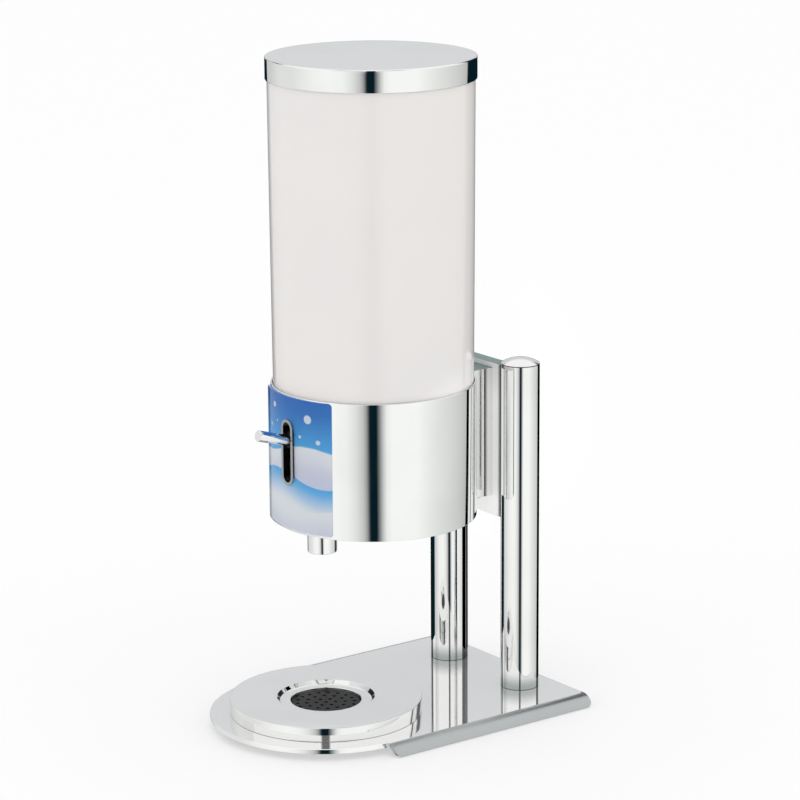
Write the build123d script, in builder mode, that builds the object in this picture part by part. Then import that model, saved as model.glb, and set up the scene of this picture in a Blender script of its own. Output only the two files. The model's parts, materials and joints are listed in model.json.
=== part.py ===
from build123d import *
import os
from math import asin, cos, degrees, radians, sin, tan

# A free-standing milk dispenser for a buffet. A round container stands in a polished drum, the
# drum hangs on two round columns, and a lever in the drum's front opens the tap above a drip tray.
# Origin: the middle of the footprint, on the table. +Z is up, the lever and the spout face -Y,
# and +X is to the right of someone who faces the lever.

os.makedirs("parts", exist_ok=True)

# Shared by several pieces
overcut = 1.0
countersink = 45
socket_large = 2.5
socket_large_depth = 3.0

# Base: one sheet with a round front and its two long sides bent down to the table
overall_length = 290.5
front_radius = 95.5
sheet = 4.0
base_top = 10.0
bend_x = 97.5
bend_radius = 11.0
skirt_bottom = 0.6
skirt_lead = 7.0
skirt_corner = 5.0
base_edge = 0.4
rear_y = overall_length / 2
tray_y = front_radius - rear_y
skirt_front_y = tray_y - skirt_lead
skirt_length = rear_y - skirt_front_y

# Feet, in (x, y)
foot_radius = 11.0
foot_edge = 1.0
foot_places = [(0, -124), (-78, -34), (78, -34), (-80, 126), (80, 126)]

# Columns: standard 32 mm tube
column_x = 48.5
column_y = 115.5
column_radius = 16.0
column_wall = 1.5
column_top = 288.4
cap_rise = 4.9
cap_spigot = 8.0
column_edge = 0.3
column_bore = column_radius - column_wall
column_places = [(-column_x, column_y), (column_x, column_y)]

# Fixings of the columns
stiffener_length = 132.0
stiffener_width = 36.0
stiffener_thickness = 4.0
stiffener_corner = 6.0
base_bolt_radius = 4.0
base_bolt_head = 7.6
base_bolt_head_height = 3.6
base_bolt_top = 32.0
foot_plug_top = 40.0

# Plate welded between the columns
plate_half_width = 44.0
plate_front_y = 104.5
plate_rear_y = 115.5
plate_bottom = 155.7
plate_top = 286.4
plate_edge = 0.5

# Drum
drum_y = 1.4
drum_radius = 83.85
drum_wall = 1.5
drum_bottom = 169.4
drum_top = 282.2
drum_edge = 0.5
drum_bore = drum_radius - drum_wall

# Saddle block between the drum and the plate
bracket_half_width = 25.5
bracket_bottom = 172.3
bracket_top = 282.2
bracket_front_y = 70.0
bracket_edge = 0.4
bracket_screw_places = [(sx * 15.0, z) for sx in (-1, 1) for z in (192.0, 262.0)]
bracket_screw_radius = 3.0
bracket_screw_head = 5.0
bracket_screw_head_height = 6.0
bracket_screw_reach = 9.0
housing_screw_angles = (80.0, 100.0)
housing_screw_heights = (198.0, 246.0)
housing_screw_radius = 2.0
housing_screw_head = 3.8
housing_screw_head_height = 2.2
housing_screw_reach = 7.0
housing_screw_gap = 0.1

# Floor of the drum
floor_bottom = 169.9
floor_thickness = 2.0
floor_edge = 0.8
floor_rim_top = 183.0
floor_screw_angles = (30.0, 150.0, 270.0)
floor_screw_height = 177.5
floor_screw_radius = 1.5
floor_screw_head = 2.6
floor_screw_sink = 1.1
floor_screw_below = 0.1
cross_slot_length = 3.2
cross_slot_width = 0.6
cross_slot_depth = 0.8
floor_screw_reach = 6.0
floor_top = floor_bottom + floor_thickness
floor_rim_bore = drum_bore - floor_thickness

# Clear front panel with a printed card behind it
card_thickness = 0.3
card_gap = 0.1
panel_thickness = 2.0
panel_half_width = 43.1
panel_bottom = 171.0
panel_top = 281.5
panel_corner = 3.0
card_margin = 0.5
panel_edge = 0.3
card_radius = drum_radius + card_thickness
panel_bore = card_radius + card_gap
panel_radius = panel_bore + panel_thickness
panel_mid_z = (panel_bottom + panel_top) / 2
panel_height = panel_top - panel_bottom

# Slot that the lever moves in, lined with a metal bezel
slot_bottom = 207.8
slot_top = 262.4
slot_width = 15.2
slot_opening = 10.4
bezel_proud = 0.5
bezel_rear_y = -78.9
bezel_ring_front_y = -80.3
bezel_ring_margin = 2.0
slot_mid_z = (slot_bottom + slot_top) / 2
slot_height = slot_top - slot_bottom
bezel_wall = (slot_width - slot_opening) / 2
bezel_front_y = drum_y - panel_radius - bezel_proud

# Seat for the container, in the mouth of the drum
seat_top = 266.6
seat_thickness = 2.0
seat_leg_bottom = 256.0
seat_leg = 1.5
seat_bore = 72.0
seat_notch_half_width = 12.0
gasket_thickness = 1.2
gasket_inner = 74.0
gasket_outer = 80.0

# Container: moulded with a slight draft, with a sloping floor and an outlet neck
container_bottom = seat_top + gasket_thickness
container_top = 543.8
container_radius_low = 81.7
container_radius_high = 83.28
container_wall = 2.5
container_foot_height = 2.5
container_foot_chamfer = 1.6
cone_rise = 9.4
neck_radius = 12.5
neck_bore = 8.5
neck_bottom = 226.0
neck_edge = 1.0
oring_wire = 1.25
oring_height = 236.0
oring_seat_radius = 11.6

# Tap: its axis is the axis of the spout
tap_y = -51.5
spout_radius = 12.0
spout_bottom = 146.6
spout_mouth = 8.5
spout_thread = 9.0
spout_edge = 0.8
spout_cone = 2.0
tap_radius = 16.0
tap_chamber = 12.0
tap_top = 218.0
orifice_radius = 6.5
orifice_bottom = 182.0
seat_height = 185.0
port_height = 198.0
port_bore = 8.0
port_boss = 12.5
port_reach_y = -31.0

# Bonnet on the tap, with two ears for the lever's pivot
bonnet_top = 226.0
bonnet_edge = 1.5
bonnet_spigot = 5.0
ear_inner_x = 8.0
ear_outer_x = 11.0
ear_radius = 6.0
ear_foot_half = 9.5
ear_root = 2.0
stem_radius = 3.0
stem_clearance = 0.05
seal_wire = 1.0
stem_seal_height = 222.0
bonnet_seal_height = 215.3

# Elbow from the container's neck to the tap
socket_radius = 15.5
socket_bore = 12.9
socket_bottom = 224.0
socket_top = 246.0
elbow_radius = 11.0
elbow_bend = 18.0
elbow_collar = 6.0
socket_base = 1.5
socket_lead = 1.0
inlet_nut_flats = 30.0
inlet_nut_front_y = -37.0
inlet_nut_rear_y = -24.0

# Lever: pressed down through 45 degrees, it lifts the stem by a pin in its forked rear arm
lever_tilt = 16.5
lever_travel = 45.0
pivot_offset = 9.0
pivot_z = 237.9
pivot_radius = 2.5
pivot_clearance = 0.05
pivot_head = 4.0
pivot_head_thickness = 1.2
pivot_pin_tail = 2.0
clip_thickness = 0.8
clip_gap = 3.0
bush_radius = 3.5
hub_half_width = 7.5
hub_centre_radius = 5.0
hub_arm_inner_x = 4.0
hub_boss_radius = 6.5
hub_boss_length = 16.0
hub_arm_root = 6.5
hub_arm_end = 4.0
rod_radius = 4.5
rod_length = 54.5
rod_thread = 3.0
rod_thread_start = 8.2
rod_edge = 0.6
stem_pin_radius = 1.5
stem_pin_gap = 0.25
arm_slot_play = 0.2
hub_boss_edge = 0.5
hub_gap_front = 1.0
hub_gap_reach = 20.0
pivot_y = tap_y - pivot_offset
stem_lift = 2 * pivot_offset * tan(radians(lever_travel / 2))
stem_pin_z = pivot_z - stem_lift / 2
arm_reach_far = pivot_offset / cos(radians(lever_travel / 2))
arm_angle = 180 + lever_travel / 2 - lever_tilt

# Stem, plug and return spring
stem_head_half_x = 3.5
stem_head_half_y = 3.0
stem_head_below = 4.0
stem_head_above = 3.6
stem_head_rounding = 2.5
plug_radius = 8.5
plug_thickness = 5.0
plug_grip = 3.0
plug_rim = 1.5
collar_thickness = 1.5
spring_wire = 1.4
spring_mean_radius = 7.5
spring_turns = 5
spring_bottom = seat_height + plug_thickness + collar_thickness
spring_top = tap_top - bonnet_spigot

# Lid with its liner
lid_radius = 84.7
lid_skirt = 1.1
lid_bottom = 529.6
lid_top = 547.7
lid_roof = 1.2
lid_edge = 1.2
liner_radius = 83.4
liner_thickness = 1.2
liner_spigot_outer = 80.0
liner_spigot_inner = 78.2
liner_spigot_bottom = 536.0
liner_spigot_edge = 1.0
lid_seal_inner = 80.3
lid_seal_outer = 83.0

# Drip tray: cover with the place for a cup, pan under it, mat in its well
cover_radius = 79.2
cover_wall = 1.2
cover_top = 21.8
cover_edge = 0.6
recess_radius = 40.4
recess_slope = 2.6
recess_depth = 3.0
well_radius = 29.2
well_lip_radius = 25.5
well_lip_top = 14.6
pan_radius = 76.5
pan_wall = 1.2
pan_top = 17.5
pan_corner = 3.0
mat_radius = 28.9
mat_thickness = 1.6
mat_hole_radius = 1.6
mat_hole_rings = ((6, 8.0), (12, 16.0), (18, 23.5))


def upright_plane(y):
    """The XZ plane at a given y, so that a sketch's two axes are x and z."""
    return Plane.XZ.offset(-y)


def upright_axis(y):
    """The vertical axis in the middle plane at a given y."""
    return Axis((0, y, 0), (0, 0, 1))


def radial_plane(angle, radius, height):
    """A plane square to a radius of the drum, facing outward, at an angle from +X."""
    outward = Vector(cos(radians(angle)), sin(radians(angle)), 0)
    foot = Vector(0, drum_y, height) + outward * radius
    return Plane(origin=foot, x_dir=(0, 0, 1), z_dir=outward)


def rearward_plane(y):
    """The XZ plane at a given y, facing the rear, so that its first axis is -x."""
    return Plane(origin=(0, y, 0), x_dir=(-1, 0, 0), z_dir=(0, 1, 0))


# Base plate
skirt_centre_z = base_top - bend_radius
skirt_angle_outer = degrees(asin((skirt_bottom - skirt_centre_z) / bend_radius))
skirt_angle_inner = degrees(asin((skirt_bottom - skirt_centre_z) / (bend_radius - sheet)))

with BuildPart() as base_plate:
    with BuildSketch(upright_plane(rear_y)):
        with BuildLine():
            outside = CenterArc(
                (bend_x, skirt_centre_z), bend_radius, skirt_angle_outer, 90 - skirt_angle_outer
            )
            inside = CenterArc(
                (bend_x, skirt_centre_z), bend_radius - sheet, skirt_angle_inner, 90 - skirt_angle_inner
            )
            Line(outside @ 0, inside @ 0)
            Line(outside @ 1, inside @ 1)
        make_face()
        mirror(about=Plane.YZ)
    extrude(amount=skirt_length)
    with BuildSketch(Plane.YZ) as side_outline:
        with Locations((rear_y, skirt_bottom)):
            Rectangle(skirt_length, base_top, align=(Align.MAX, Align.MIN))
        fillet(side_outline.vertices().group_by(Axis.Y)[0], skirt_corner)
    extrude(amount=bend_x + bend_radius, both=True, mode=Mode.INTERSECT)
    with BuildSketch(Plane.XY.offset(base_top - sheet)):
        with Locations((0, tray_y)):
            Circle(front_radius)
        with Locations((0, (skirt_front_y + rear_y) / 2)):
            Rectangle(2 * bend_x, skirt_length)
    extrude(amount=sheet)
    front_rim = base_plate.edges().filter_by(GeomType.CIRCLE).filter_by(
        lambda e: abs(e.radius - front_radius) < 0.01 and e.center().Z > base_top - 0.01
    )
    chamfer(front_rim, base_edge)
    with Locations(*[(x, y, base_top) for x, y in column_places]):
        Hole(base_bolt_radius, sheet)
base_plate.part.label = "base_plate"
export_step(base_plate.part, "parts/base_plate.step")

# Rubber feet, glued under the sheet
with BuildPart() as rubber_feet:
    with BuildSketch(Plane.XY):
        with Locations(*foot_places):
            Circle(foot_radius)
    extrude(amount=base_top - sheet)
    chamfer(rubber_feet.faces().sort_by(Axis.Z)[: len(foot_places)].edges(), foot_edge)
rubber_feet.part.label = "rubber_feet"
export_step(rubber_feet.part, "parts/rubber_feet.step")

# Stiffener under the sheet, which the column bolts pull against
with BuildPart() as base_stiffener:
    with BuildSketch(Plane.XY.offset(base_top - sheet)):
        with Locations((0, column_y)):
            RectangleRounded(stiffener_length, stiffener_width, stiffener_corner)
    extrude(amount=-stiffener_thickness)
    with BuildSketch(Plane.XY.offset(base_top - sheet - stiffener_thickness)):
        with Locations(*column_places):
            Circle(base_bolt_head)
    extrude(amount=base_bolt_head_height, taper=countersink, mode=Mode.SUBTRACT)
    with BuildSketch(Plane.XY.offset(base_top - sheet)):
        with Locations(*column_places):
            Circle(base_bolt_radius)
    extrude(amount=-stiffener_thickness, mode=Mode.SUBTRACT)
base_stiffener.part.label = "base_stiffener"
export_step(base_stiffener.part, "parts/base_stiffener.step")

# Countersunk bolts that hold the columns down
with BuildPart() as base_bolts:
    with BuildSketch(Plane.XY.offset(base_top - sheet - stiffener_thickness)):
        with Locations(*column_places):
            Circle(base_bolt_head)
    extrude(amount=base_bolt_head_height, taper=countersink)
    with BuildSketch(Plane.XY.offset(base_top - sheet - stiffener_thickness)):
        with Locations(*column_places):
            Circle(base_bolt_radius)
    extrude(amount=base_bolt_top - (base_top - sheet - stiffener_thickness))
    with BuildSketch(Plane.XY.offset(base_top - sheet - stiffener_thickness)):
        with Locations(*column_places):
            RegularPolygon(socket_large, 6, major_radius=False)
    extrude(amount=socket_large_depth, mode=Mode.SUBTRACT)
base_bolts.part.label = "base_bolts"
export_step(base_bolts.part, "parts/base_bolts.step")

# Threaded plugs in the feet of the columns
with BuildPart() as column_foot_plugs:
    with BuildSketch(Plane.XY.offset(base_top)):
        with Locations(*column_places):
            Circle(column_bore)
    extrude(amount=foot_plug_top - base_top)
    with BuildSketch(Plane.XY.offset(base_top)):
        with Locations(*column_places):
            Circle(base_bolt_radius)
    extrude(amount=base_bolt_top - base_top, mode=Mode.SUBTRACT)
column_foot_plugs.part.label = "column_foot_plugs"
export_step(column_foot_plugs.part, "parts/column_foot_plugs.step")

# Columns: tubes
for side, x in (("left", -column_x), ("right", column_x)):
    with BuildPart() as column:
        with BuildSketch(Plane.XY.offset(base_top)):
            with Locations((x, column_y)):
                Circle(column_radius)
                Circle(column_bore, mode=Mode.SUBTRACT)
        extrude(amount=column_top - base_top)
        outer_rims = column.edges().filter_by(GeomType.CIRCLE).filter_by(
            lambda e: abs(e.radius - column_radius) < 0.01
        )
        chamfer(outer_rims.sort_by(Axis.Z)[-1:], column_edge)
    column.part.label = f"column_{side}"
    export_step(column.part, f"parts/column_{side}.step")

    # Its domed cap, with a spigot in the tube
    with BuildPart() as column_cap:
        dome_rise = cap_rise - column_edge
        dome_radius = (column_radius**2 + dome_rise**2) / (2 * dome_rise)
        with BuildSketch(upright_plane(column_y)):
            with BuildLine():
                Polyline(
                    (x, column_top + cap_rise),
                    (x, column_top - cap_spigot),
                    (x + column_bore, column_top - cap_spigot),
                    (x + column_bore, column_top),
                    (x + column_radius - column_edge, column_top),
                    (x + column_radius, column_top + column_edge),
                )
                RadiusArc(
                    (x + column_radius, column_top + column_edge),
                    (x, column_top + cap_rise),
                    -dome_radius,
                )
            make_face()
        revolve(axis=Axis((x, column_y, 0), (0, 0, 1)))
    column_cap.part.label = f"column_cap_{side}"
    export_step(column_cap.part, f"parts/column_cap_{side}.step")

# Plate between the columns, with its ends hollowed to fit them
with BuildPart() as mount_plate:
    with BuildSketch(upright_plane(plate_rear_y)):
        with Locations((0, (plate_bottom + plate_top) / 2)):
            Rectangle(2 * plate_half_width, plate_top - plate_bottom)
    extrude(amount=plate_rear_y - plate_front_y)
    chamfer(mount_plate.edges(), plate_edge)
    with BuildSketch(Plane.XY.offset(plate_bottom)):
        with Locations(*column_places):
            Circle(column_radius)
    extrude(amount=plate_top - plate_bottom, mode=Mode.SUBTRACT)
    with BuildSketch(upright_plane(plate_rear_y)):
        with Locations(*bracket_screw_places):
            Circle(bracket_screw_radius)
    extrude(amount=plate_rear_y - plate_front_y, mode=Mode.SUBTRACT)
    with BuildSketch(upright_plane(plate_rear_y)):
        with Locations(*bracket_screw_places):
            Circle(bracket_screw_head)
    extrude(amount=bracket_screw_head_height, mode=Mode.SUBTRACT)
mount_plate.part.label = "mount_plate"
export_step(mount_plate.part, "parts/mount_plate.step")

# Saddle block, hollow at the front to fit the drum
with BuildPart() as housing_bracket:
    with BuildSketch(Plane.XY.offset(bracket_bottom)):
        with Locations((0, (bracket_front_y + plate_front_y) / 2)):
            Rectangle(2 * bracket_half_width, plate_front_y - bracket_front_y)
        with Locations((0, drum_y)):
            Circle(drum_radius, mode=Mode.SUBTRACT)
    extrude(amount=bracket_top - bracket_bottom)
    chamfer(housing_bracket.edges().filter_by(Axis.Y), bracket_edge)
    with BuildSketch(upright_plane(plate_front_y)):
        with Locations(*bracket_screw_places):
            Circle(bracket_screw_radius)
    extrude(amount=plate_front_y - bracket_front_y, mode=Mode.SUBTRACT)
    for angle in housing_screw_angles:
        for height in housing_screw_heights:
            with BuildSketch(radial_plane(angle, drum_radius - overcut, height)):
                Circle(housing_screw_radius)
            extrude(amount=housing_screw_reach + overcut, mode=Mode.SUBTRACT)
housing_bracket.part.label = "housing_bracket"
export_step(housing_bracket.part, "parts/housing_bracket.step")

# Cap screws from the rear of the plate into the saddle block
bracket_screw_seat_y = plate_rear_y - bracket_screw_head_height
with BuildPart() as bracket_screws:
    with BuildSketch(upright_plane(bracket_screw_seat_y)):
        with Locations(*bracket_screw_places):
            Circle(bracket_screw_radius)
    extrude(amount=bracket_screw_seat_y - plate_front_y + bracket_screw_reach)
    with BuildSketch(rearward_plane(bracket_screw_seat_y)):
        with Locations(*bracket_screw_places):
            Circle(bracket_screw_head)
    extrude(amount=bracket_screw_head_height)
    with BuildSketch(rearward_plane(plate_rear_y)):
        with Locations(*bracket_screw_places):
            RegularPolygon(socket_large, 6, major_radius=False)
    extrude(amount=-socket_large_depth, mode=Mode.SUBTRACT)
bracket_screws.part.label = "bracket_screws"
export_step(bracket_screws.part, "parts/bracket_screws.step")

# Screws from inside the drum into the saddle block
head_face_radius = drum_bore - housing_screw_gap
with BuildPart() as housing_screws:
    for angle in housing_screw_angles:
        for height in housing_screw_heights:
            with BuildSketch(radial_plane(angle, head_face_radius, height)):
                Circle(housing_screw_head)
            extrude(amount=-housing_screw_head_height)
            with BuildSketch(radial_plane(angle, head_face_radius, height)):
                Circle(housing_screw_radius)
            extrude(amount=drum_wall + housing_screw_gap + housing_screw_reach)
housing_screws.part.label = "housing_screws"
export_step(housing_screws.part, "parts/housing_screws.step")

# Drum: an open shell with a window for the lever's slot
with BuildPart() as housing_drum:
    with BuildSketch(Plane.XY.offset(drum_bottom)):
        with Locations((0, drum_y)):
            Circle(drum_radius)
            Circle(drum_bore, mode=Mode.SUBTRACT)
    extrude(amount=drum_top - drum_bottom)
    chamfer(housing_drum.faces().sort_by(Axis.Z)[-1].edges(), drum_edge)
    with BuildSketch(upright_plane(drum_y)):
        with Locations((0, slot_mid_z)):
            SlotOverall(slot_height, slot_width, rotation=90)
    extrude(amount=drum_radius + overcut, mode=Mode.SUBTRACT)
    for angle in housing_screw_angles:
        for height in housing_screw_heights:
            with BuildSketch(radial_plane(angle, drum_bore - overcut, height)):
                Circle(housing_screw_radius)
            extrude(amount=drum_wall + 2 * overcut, mode=Mode.SUBTRACT)
    for angle in floor_screw_angles:
        with BuildSketch(radial_plane(angle, drum_bore - overcut, floor_screw_height)):
            Circle(floor_screw_radius)
        extrude(amount=drum_wall + 2 * overcut, mode=Mode.SUBTRACT)
        with BuildSketch(radial_plane(angle, drum_radius, floor_screw_height)):
            Circle(floor_screw_head)
        extrude(amount=-floor_screw_sink, taper=countersink, mode=Mode.SUBTRACT)
housing_drum.part.label = "housing_drum"
export_step(housing_drum.part, "parts/housing_drum.step")

# Floor of the drum: a pressed dish with an upturned rim
with BuildPart() as housing_floor:
    with BuildSketch(Plane.XY.offset(floor_bottom)):
        with Locations((0, drum_y)):
            Circle(drum_bore)
    extrude(amount=floor_rim_top - floor_bottom)
    with BuildSketch(Plane.XY.offset(floor_top)):
        with Locations((0, drum_y)):
            Circle(floor_rim_bore)
    extrude(amount=floor_rim_top - floor_top, mode=Mode.SUBTRACT)
    chamfer(housing_floor.faces().sort_by(Axis.Z)[0].edges(), floor_edge)
    with BuildSketch(Plane.XY.offset(floor_bottom)):
        with Locations((0, tap_y)):
            Circle(spout_thread)
    extrude(amount=floor_thickness, mode=Mode.SUBTRACT)
    for angle in floor_screw_angles:
        with BuildSketch(radial_plane(angle, floor_rim_bore - overcut, floor_screw_height)):
            Circle(floor_screw_radius)
        extrude(amount=floor_thickness + 2 * overcut, mode=Mode.SUBTRACT)
housing_floor.part.label = "housing_floor"
export_step(housing_floor.part, "parts/housing_floor.step")

# Small countersunk screws through the drum into the rim of its floor
with BuildPart() as floor_screws:
    for angle in floor_screw_angles:
        head_plane = radial_plane(angle, drum_radius - floor_screw_below, floor_screw_height)
        with BuildSketch(head_plane):
            Circle(floor_screw_head - floor_screw_below)
        extrude(amount=-floor_screw_sink + floor_screw_below, taper=countersink)
        with BuildSketch(head_plane):
            Circle(floor_screw_radius)
        extrude(amount=-floor_screw_reach)
        with BuildSketch(head_plane):
            Rectangle(cross_slot_width, cross_slot_length)
            Rectangle(cross_slot_length, cross_slot_width)
        extrude(amount=-cross_slot_depth, mode=Mode.SUBTRACT)
floor_screws.part.label = "floor_screws"
export_step(floor_screws.part, "parts/floor_screws.step")

# Printed card behind the front panel
with BuildPart() as picture_card:
    with BuildSketch(Plane.XY.offset(panel_bottom + card_margin)):
        with Locations((0, drum_y)):
            Circle(card_radius)
            Circle(drum_radius, mode=Mode.SUBTRACT)
    extrude(amount=panel_height - 2 * card_margin)
    with BuildSketch(upright_plane(drum_y)):
        with Locations((0, panel_mid_z)):
            RectangleRounded(
                2 * (panel_half_width - card_margin), panel_height - 2 * card_margin, panel_corner
            )
        with Locations((0, slot_mid_z)):
            SlotOverall(slot_height, slot_width, rotation=90, mode=Mode.SUBTRACT)
    extrude(amount=card_radius + overcut, mode=Mode.INTERSECT)
picture_card.part.label = "picture_card"
export_step(picture_card.part, "parts/picture_card.step")

# Clear front panel, bent to the drum
with BuildPart() as front_panel:
    with BuildSketch(Plane.XY.offset(panel_bottom)):
        with Locations((0, drum_y)):
            Circle(panel_radius)
            Circle(panel_bore, mode=Mode.SUBTRACT)
    extrude(amount=panel_height)
    with BuildSketch(upright_plane(drum_y)):
        with Locations((0, panel_mid_z)):
            RectangleRounded(2 * panel_half_width, panel_height, panel_corner)
        with Locations((0, slot_mid_z)):
            SlotOverall(slot_height, slot_width, rotation=90, mode=Mode.SUBTRACT)
    extrude(amount=panel_radius + overcut, mode=Mode.INTERSECT)
front_panel.part.label = "front_panel"
export_step(front_panel.part, "parts/front_panel.step")

# Bezel that lines the slot, through the panel, the card and the drum
with BuildPart() as slot_bezel:
    with BuildSketch(upright_plane(bezel_rear_y)):
        with Locations((0, slot_mid_z)):
            SlotOverall(slot_height, slot_width, rotation=90)
            SlotOverall(slot_height - 2 * bezel_wall, slot_opening, rotation=90, mode=Mode.SUBTRACT)
    extrude(amount=bezel_rear_y - bezel_front_y)
    chamfer(slot_bezel.faces().sort_by(Axis.Y)[0].edges(), panel_edge)
slot_bezel.part.label = "slot_bezel"
export_step(slot_bezel.part, "parts/slot_bezel.step")

# Ring that holds the bezel from inside the drum
with BuildPart() as bezel_ring:
    with BuildSketch(upright_plane(bezel_rear_y)):
        with Locations((0, slot_mid_z)):
            SlotOverall(
                slot_height + 2 * bezel_ring_margin, slot_width + 2 * bezel_ring_margin, rotation=90
            )
            SlotOverall(slot_height, slot_width, rotation=90, mode=Mode.SUBTRACT)
    extrude(amount=bezel_rear_y - bezel_ring_front_y)
bezel_ring.part.label = "bezel_ring"
export_step(bezel_ring.part, "parts/bezel_ring.step")

# Seat ring in the mouth of the drum, notched behind the slot
with BuildPart() as seat_ring:
    with BuildSketch(upright_plane(drum_y)):
        with BuildLine():
            Polyline(
                (seat_bore, seat_top),
                (drum_bore, seat_top),
                (drum_bore, seat_leg_bottom),
                (drum_bore - seat_leg, seat_leg_bottom),
                (drum_bore - seat_leg, seat_top - seat_thickness),
                (seat_bore, seat_top - seat_thickness),
                close=True,
            )
        make_face()
    revolve(axis=upright_axis(drum_y))
    with BuildSketch(upright_plane(drum_y)):
        with Locations((0, seat_leg_bottom)):
            Rectangle(
                2 * seat_notch_half_width,
                seat_top - seat_thickness - seat_leg_bottom,
                align=(Align.CENTER, Align.MIN),
            )
    extrude(amount=drum_radius, mode=Mode.SUBTRACT)
seat_ring.part.label = "seat_ring"
export_step(seat_ring.part, "parts/seat_ring.step")

# Silicone gasket that the container stands on
with BuildPart() as seat_gasket:
    with BuildSketch(Plane.XY.offset(seat_top)):
        with Locations((0, drum_y)):
            Circle(gasket_outer)
            Circle(gasket_inner, mode=Mode.SUBTRACT)
    extrude(amount=gasket_thickness)
seat_gasket.part.label = "seat_gasket"
export_step(seat_gasket.part, "parts/seat_gasket.step")

# Container: wall, foot ring, floor that slopes to the outlet, and the neck under it
draft = (container_radius_high - container_radius_low) / (container_top - container_bottom)
foot_inner = gasket_inner
cone_top_z = container_bottom + container_foot_height
cone_bottom_z = cone_top_z - cone_rise
inner_radius_low = container_radius_low - container_wall
with BuildPart() as container:
    with BuildSketch(upright_plane(drum_y)):
        with BuildLine():
            Polyline(
                (neck_bore, neck_bottom),
                (neck_radius - neck_edge, neck_bottom),
                (neck_radius, neck_bottom + neck_edge),
                (neck_radius, oring_height - oring_wire),
                (oring_seat_radius - oring_wire, oring_height - oring_wire),
                (oring_seat_radius - oring_wire, oring_height + oring_wire),
                (neck_radius, oring_height + oring_wire),
                (neck_radius, cone_bottom_z),
                (foot_inner, cone_top_z),
                (foot_inner, container_bottom),
                (container_radius_low - container_foot_chamfer, container_bottom),
                (container_radius_low, container_bottom + container_foot_chamfer),
                (container_radius_high, container_top),
                (container_radius_high - container_wall, container_top),
                (inner_radius_low, cone_top_z + container_wall),
                (neck_bore, cone_bottom_z + container_wall),
                close=True,
            )
        make_face()
    revolve(axis=upright_axis(drum_y))
container.part.label = "container"
export_step(container.part, "parts/container.step")

# O-ring on the container's neck
with BuildPart() as outlet_oring:
    with BuildSketch(upright_plane(drum_y)):
        with Locations((oring_seat_radius, oring_height)):
            Circle(oring_wire)
    revolve(axis=upright_axis(drum_y))
outlet_oring.part.label = "outlet_oring"
export_step(outlet_oring.part, "parts/outlet_oring.step")

# Spout: a turned tube under the drum, whose threaded neck holds the tap to the floor
with BuildPart() as spout:
    with BuildSketch(upright_plane(tap_y)):
        with BuildLine():
            Polyline(
                (spout_mouth, spout_bottom),
                (spout_radius - spout_edge, spout_bottom),
                (spout_radius, spout_bottom + spout_edge),
                (spout_radius, floor_bottom),
                (spout_thread, floor_bottom),
                (spout_thread, orifice_bottom),
                (orifice_radius, orifice_bottom),
                (orifice_radius, floor_bottom + spout_cone),
                (spout_mouth, floor_bottom - spout_cone),
                close=True,
            )
        make_face()
    revolve(axis=upright_axis(tap_y))
spout.part.label = "spout"
export_step(spout.part, "parts/spout.step")

# Tap body: upright chamber over the spout, with an inlet port at the rear
with BuildPart() as tap_body:
    with BuildSketch(Plane.XY.offset(floor_top)):
        with Locations((0, tap_y)):
            Circle(tap_radius)
    extrude(amount=tap_top - floor_top)
    with BuildSketch(upright_plane(port_reach_y)):
        with Locations((0, port_height)):
            Circle(port_boss)
    extrude(amount=port_reach_y - tap_y)
    with BuildSketch(Plane.XY.offset(floor_top)):
        with Locations((0, tap_y)):
            Circle(spout_thread)
    extrude(amount=orifice_bottom - floor_top, mode=Mode.SUBTRACT)
    with BuildSketch(Plane.XY.offset(orifice_bottom)):
        with Locations((0, tap_y)):
            Circle(orifice_radius)
    extrude(amount=seat_height - orifice_bottom, mode=Mode.SUBTRACT)
    with BuildSketch(Plane.XY.offset(seat_height)):
        with Locations((0, tap_y)):
            Circle(tap_chamber)
    extrude(amount=tap_top - seat_height, mode=Mode.SUBTRACT)
    with BuildSketch(upright_plane(port_reach_y)):
        with Locations((0, port_height)):
            Circle(port_bore)
    extrude(amount=port_reach_y - tap_y, mode=Mode.SUBTRACT)
tap_body.part.label = "tap_body"
export_step(tap_body.part, "parts/tap_body.step")

# Elbow: a socket for the container's neck, bent forward to the tap
with BuildPart() as inlet_elbow:
    with BuildSketch(upright_plane(drum_y)):
        with BuildLine():
            Polyline(
                (port_bore, socket_bottom),
                (elbow_radius, socket_bottom - elbow_collar),
                (socket_radius, socket_bottom - socket_base),
                (socket_radius, socket_top),
                (socket_bore + socket_lead, socket_top),
                (socket_bore, socket_top - socket_lead),
                (socket_bore, socket_bottom),
                close=True,
            )
        make_face()
    revolve(axis=upright_axis(drum_y))
    with BuildLine():
        Line((0, drum_y, socket_bottom), (0, drum_y, port_height + elbow_bend))
        ThreePointArc(
            (0, drum_y, port_height + elbow_bend),
            (
                0,
                drum_y - elbow_bend + elbow_bend * cos(radians(45)),
                port_height + elbow_bend - elbow_bend * sin(radians(45)),
            ),
            (0, drum_y - elbow_bend, port_height),
        )
        Line((0, drum_y - elbow_bend, port_height), (0, port_reach_y, port_height))
    with BuildSketch(Plane.XY.offset(socket_bottom)):
        with Locations((0, drum_y)):
            Circle(elbow_radius)
            Circle(port_bore, mode=Mode.SUBTRACT)
    sweep()
inlet_elbow.part.label = "inlet_elbow"
export_step(inlet_elbow.part, "parts/inlet_elbow.step")

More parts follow.
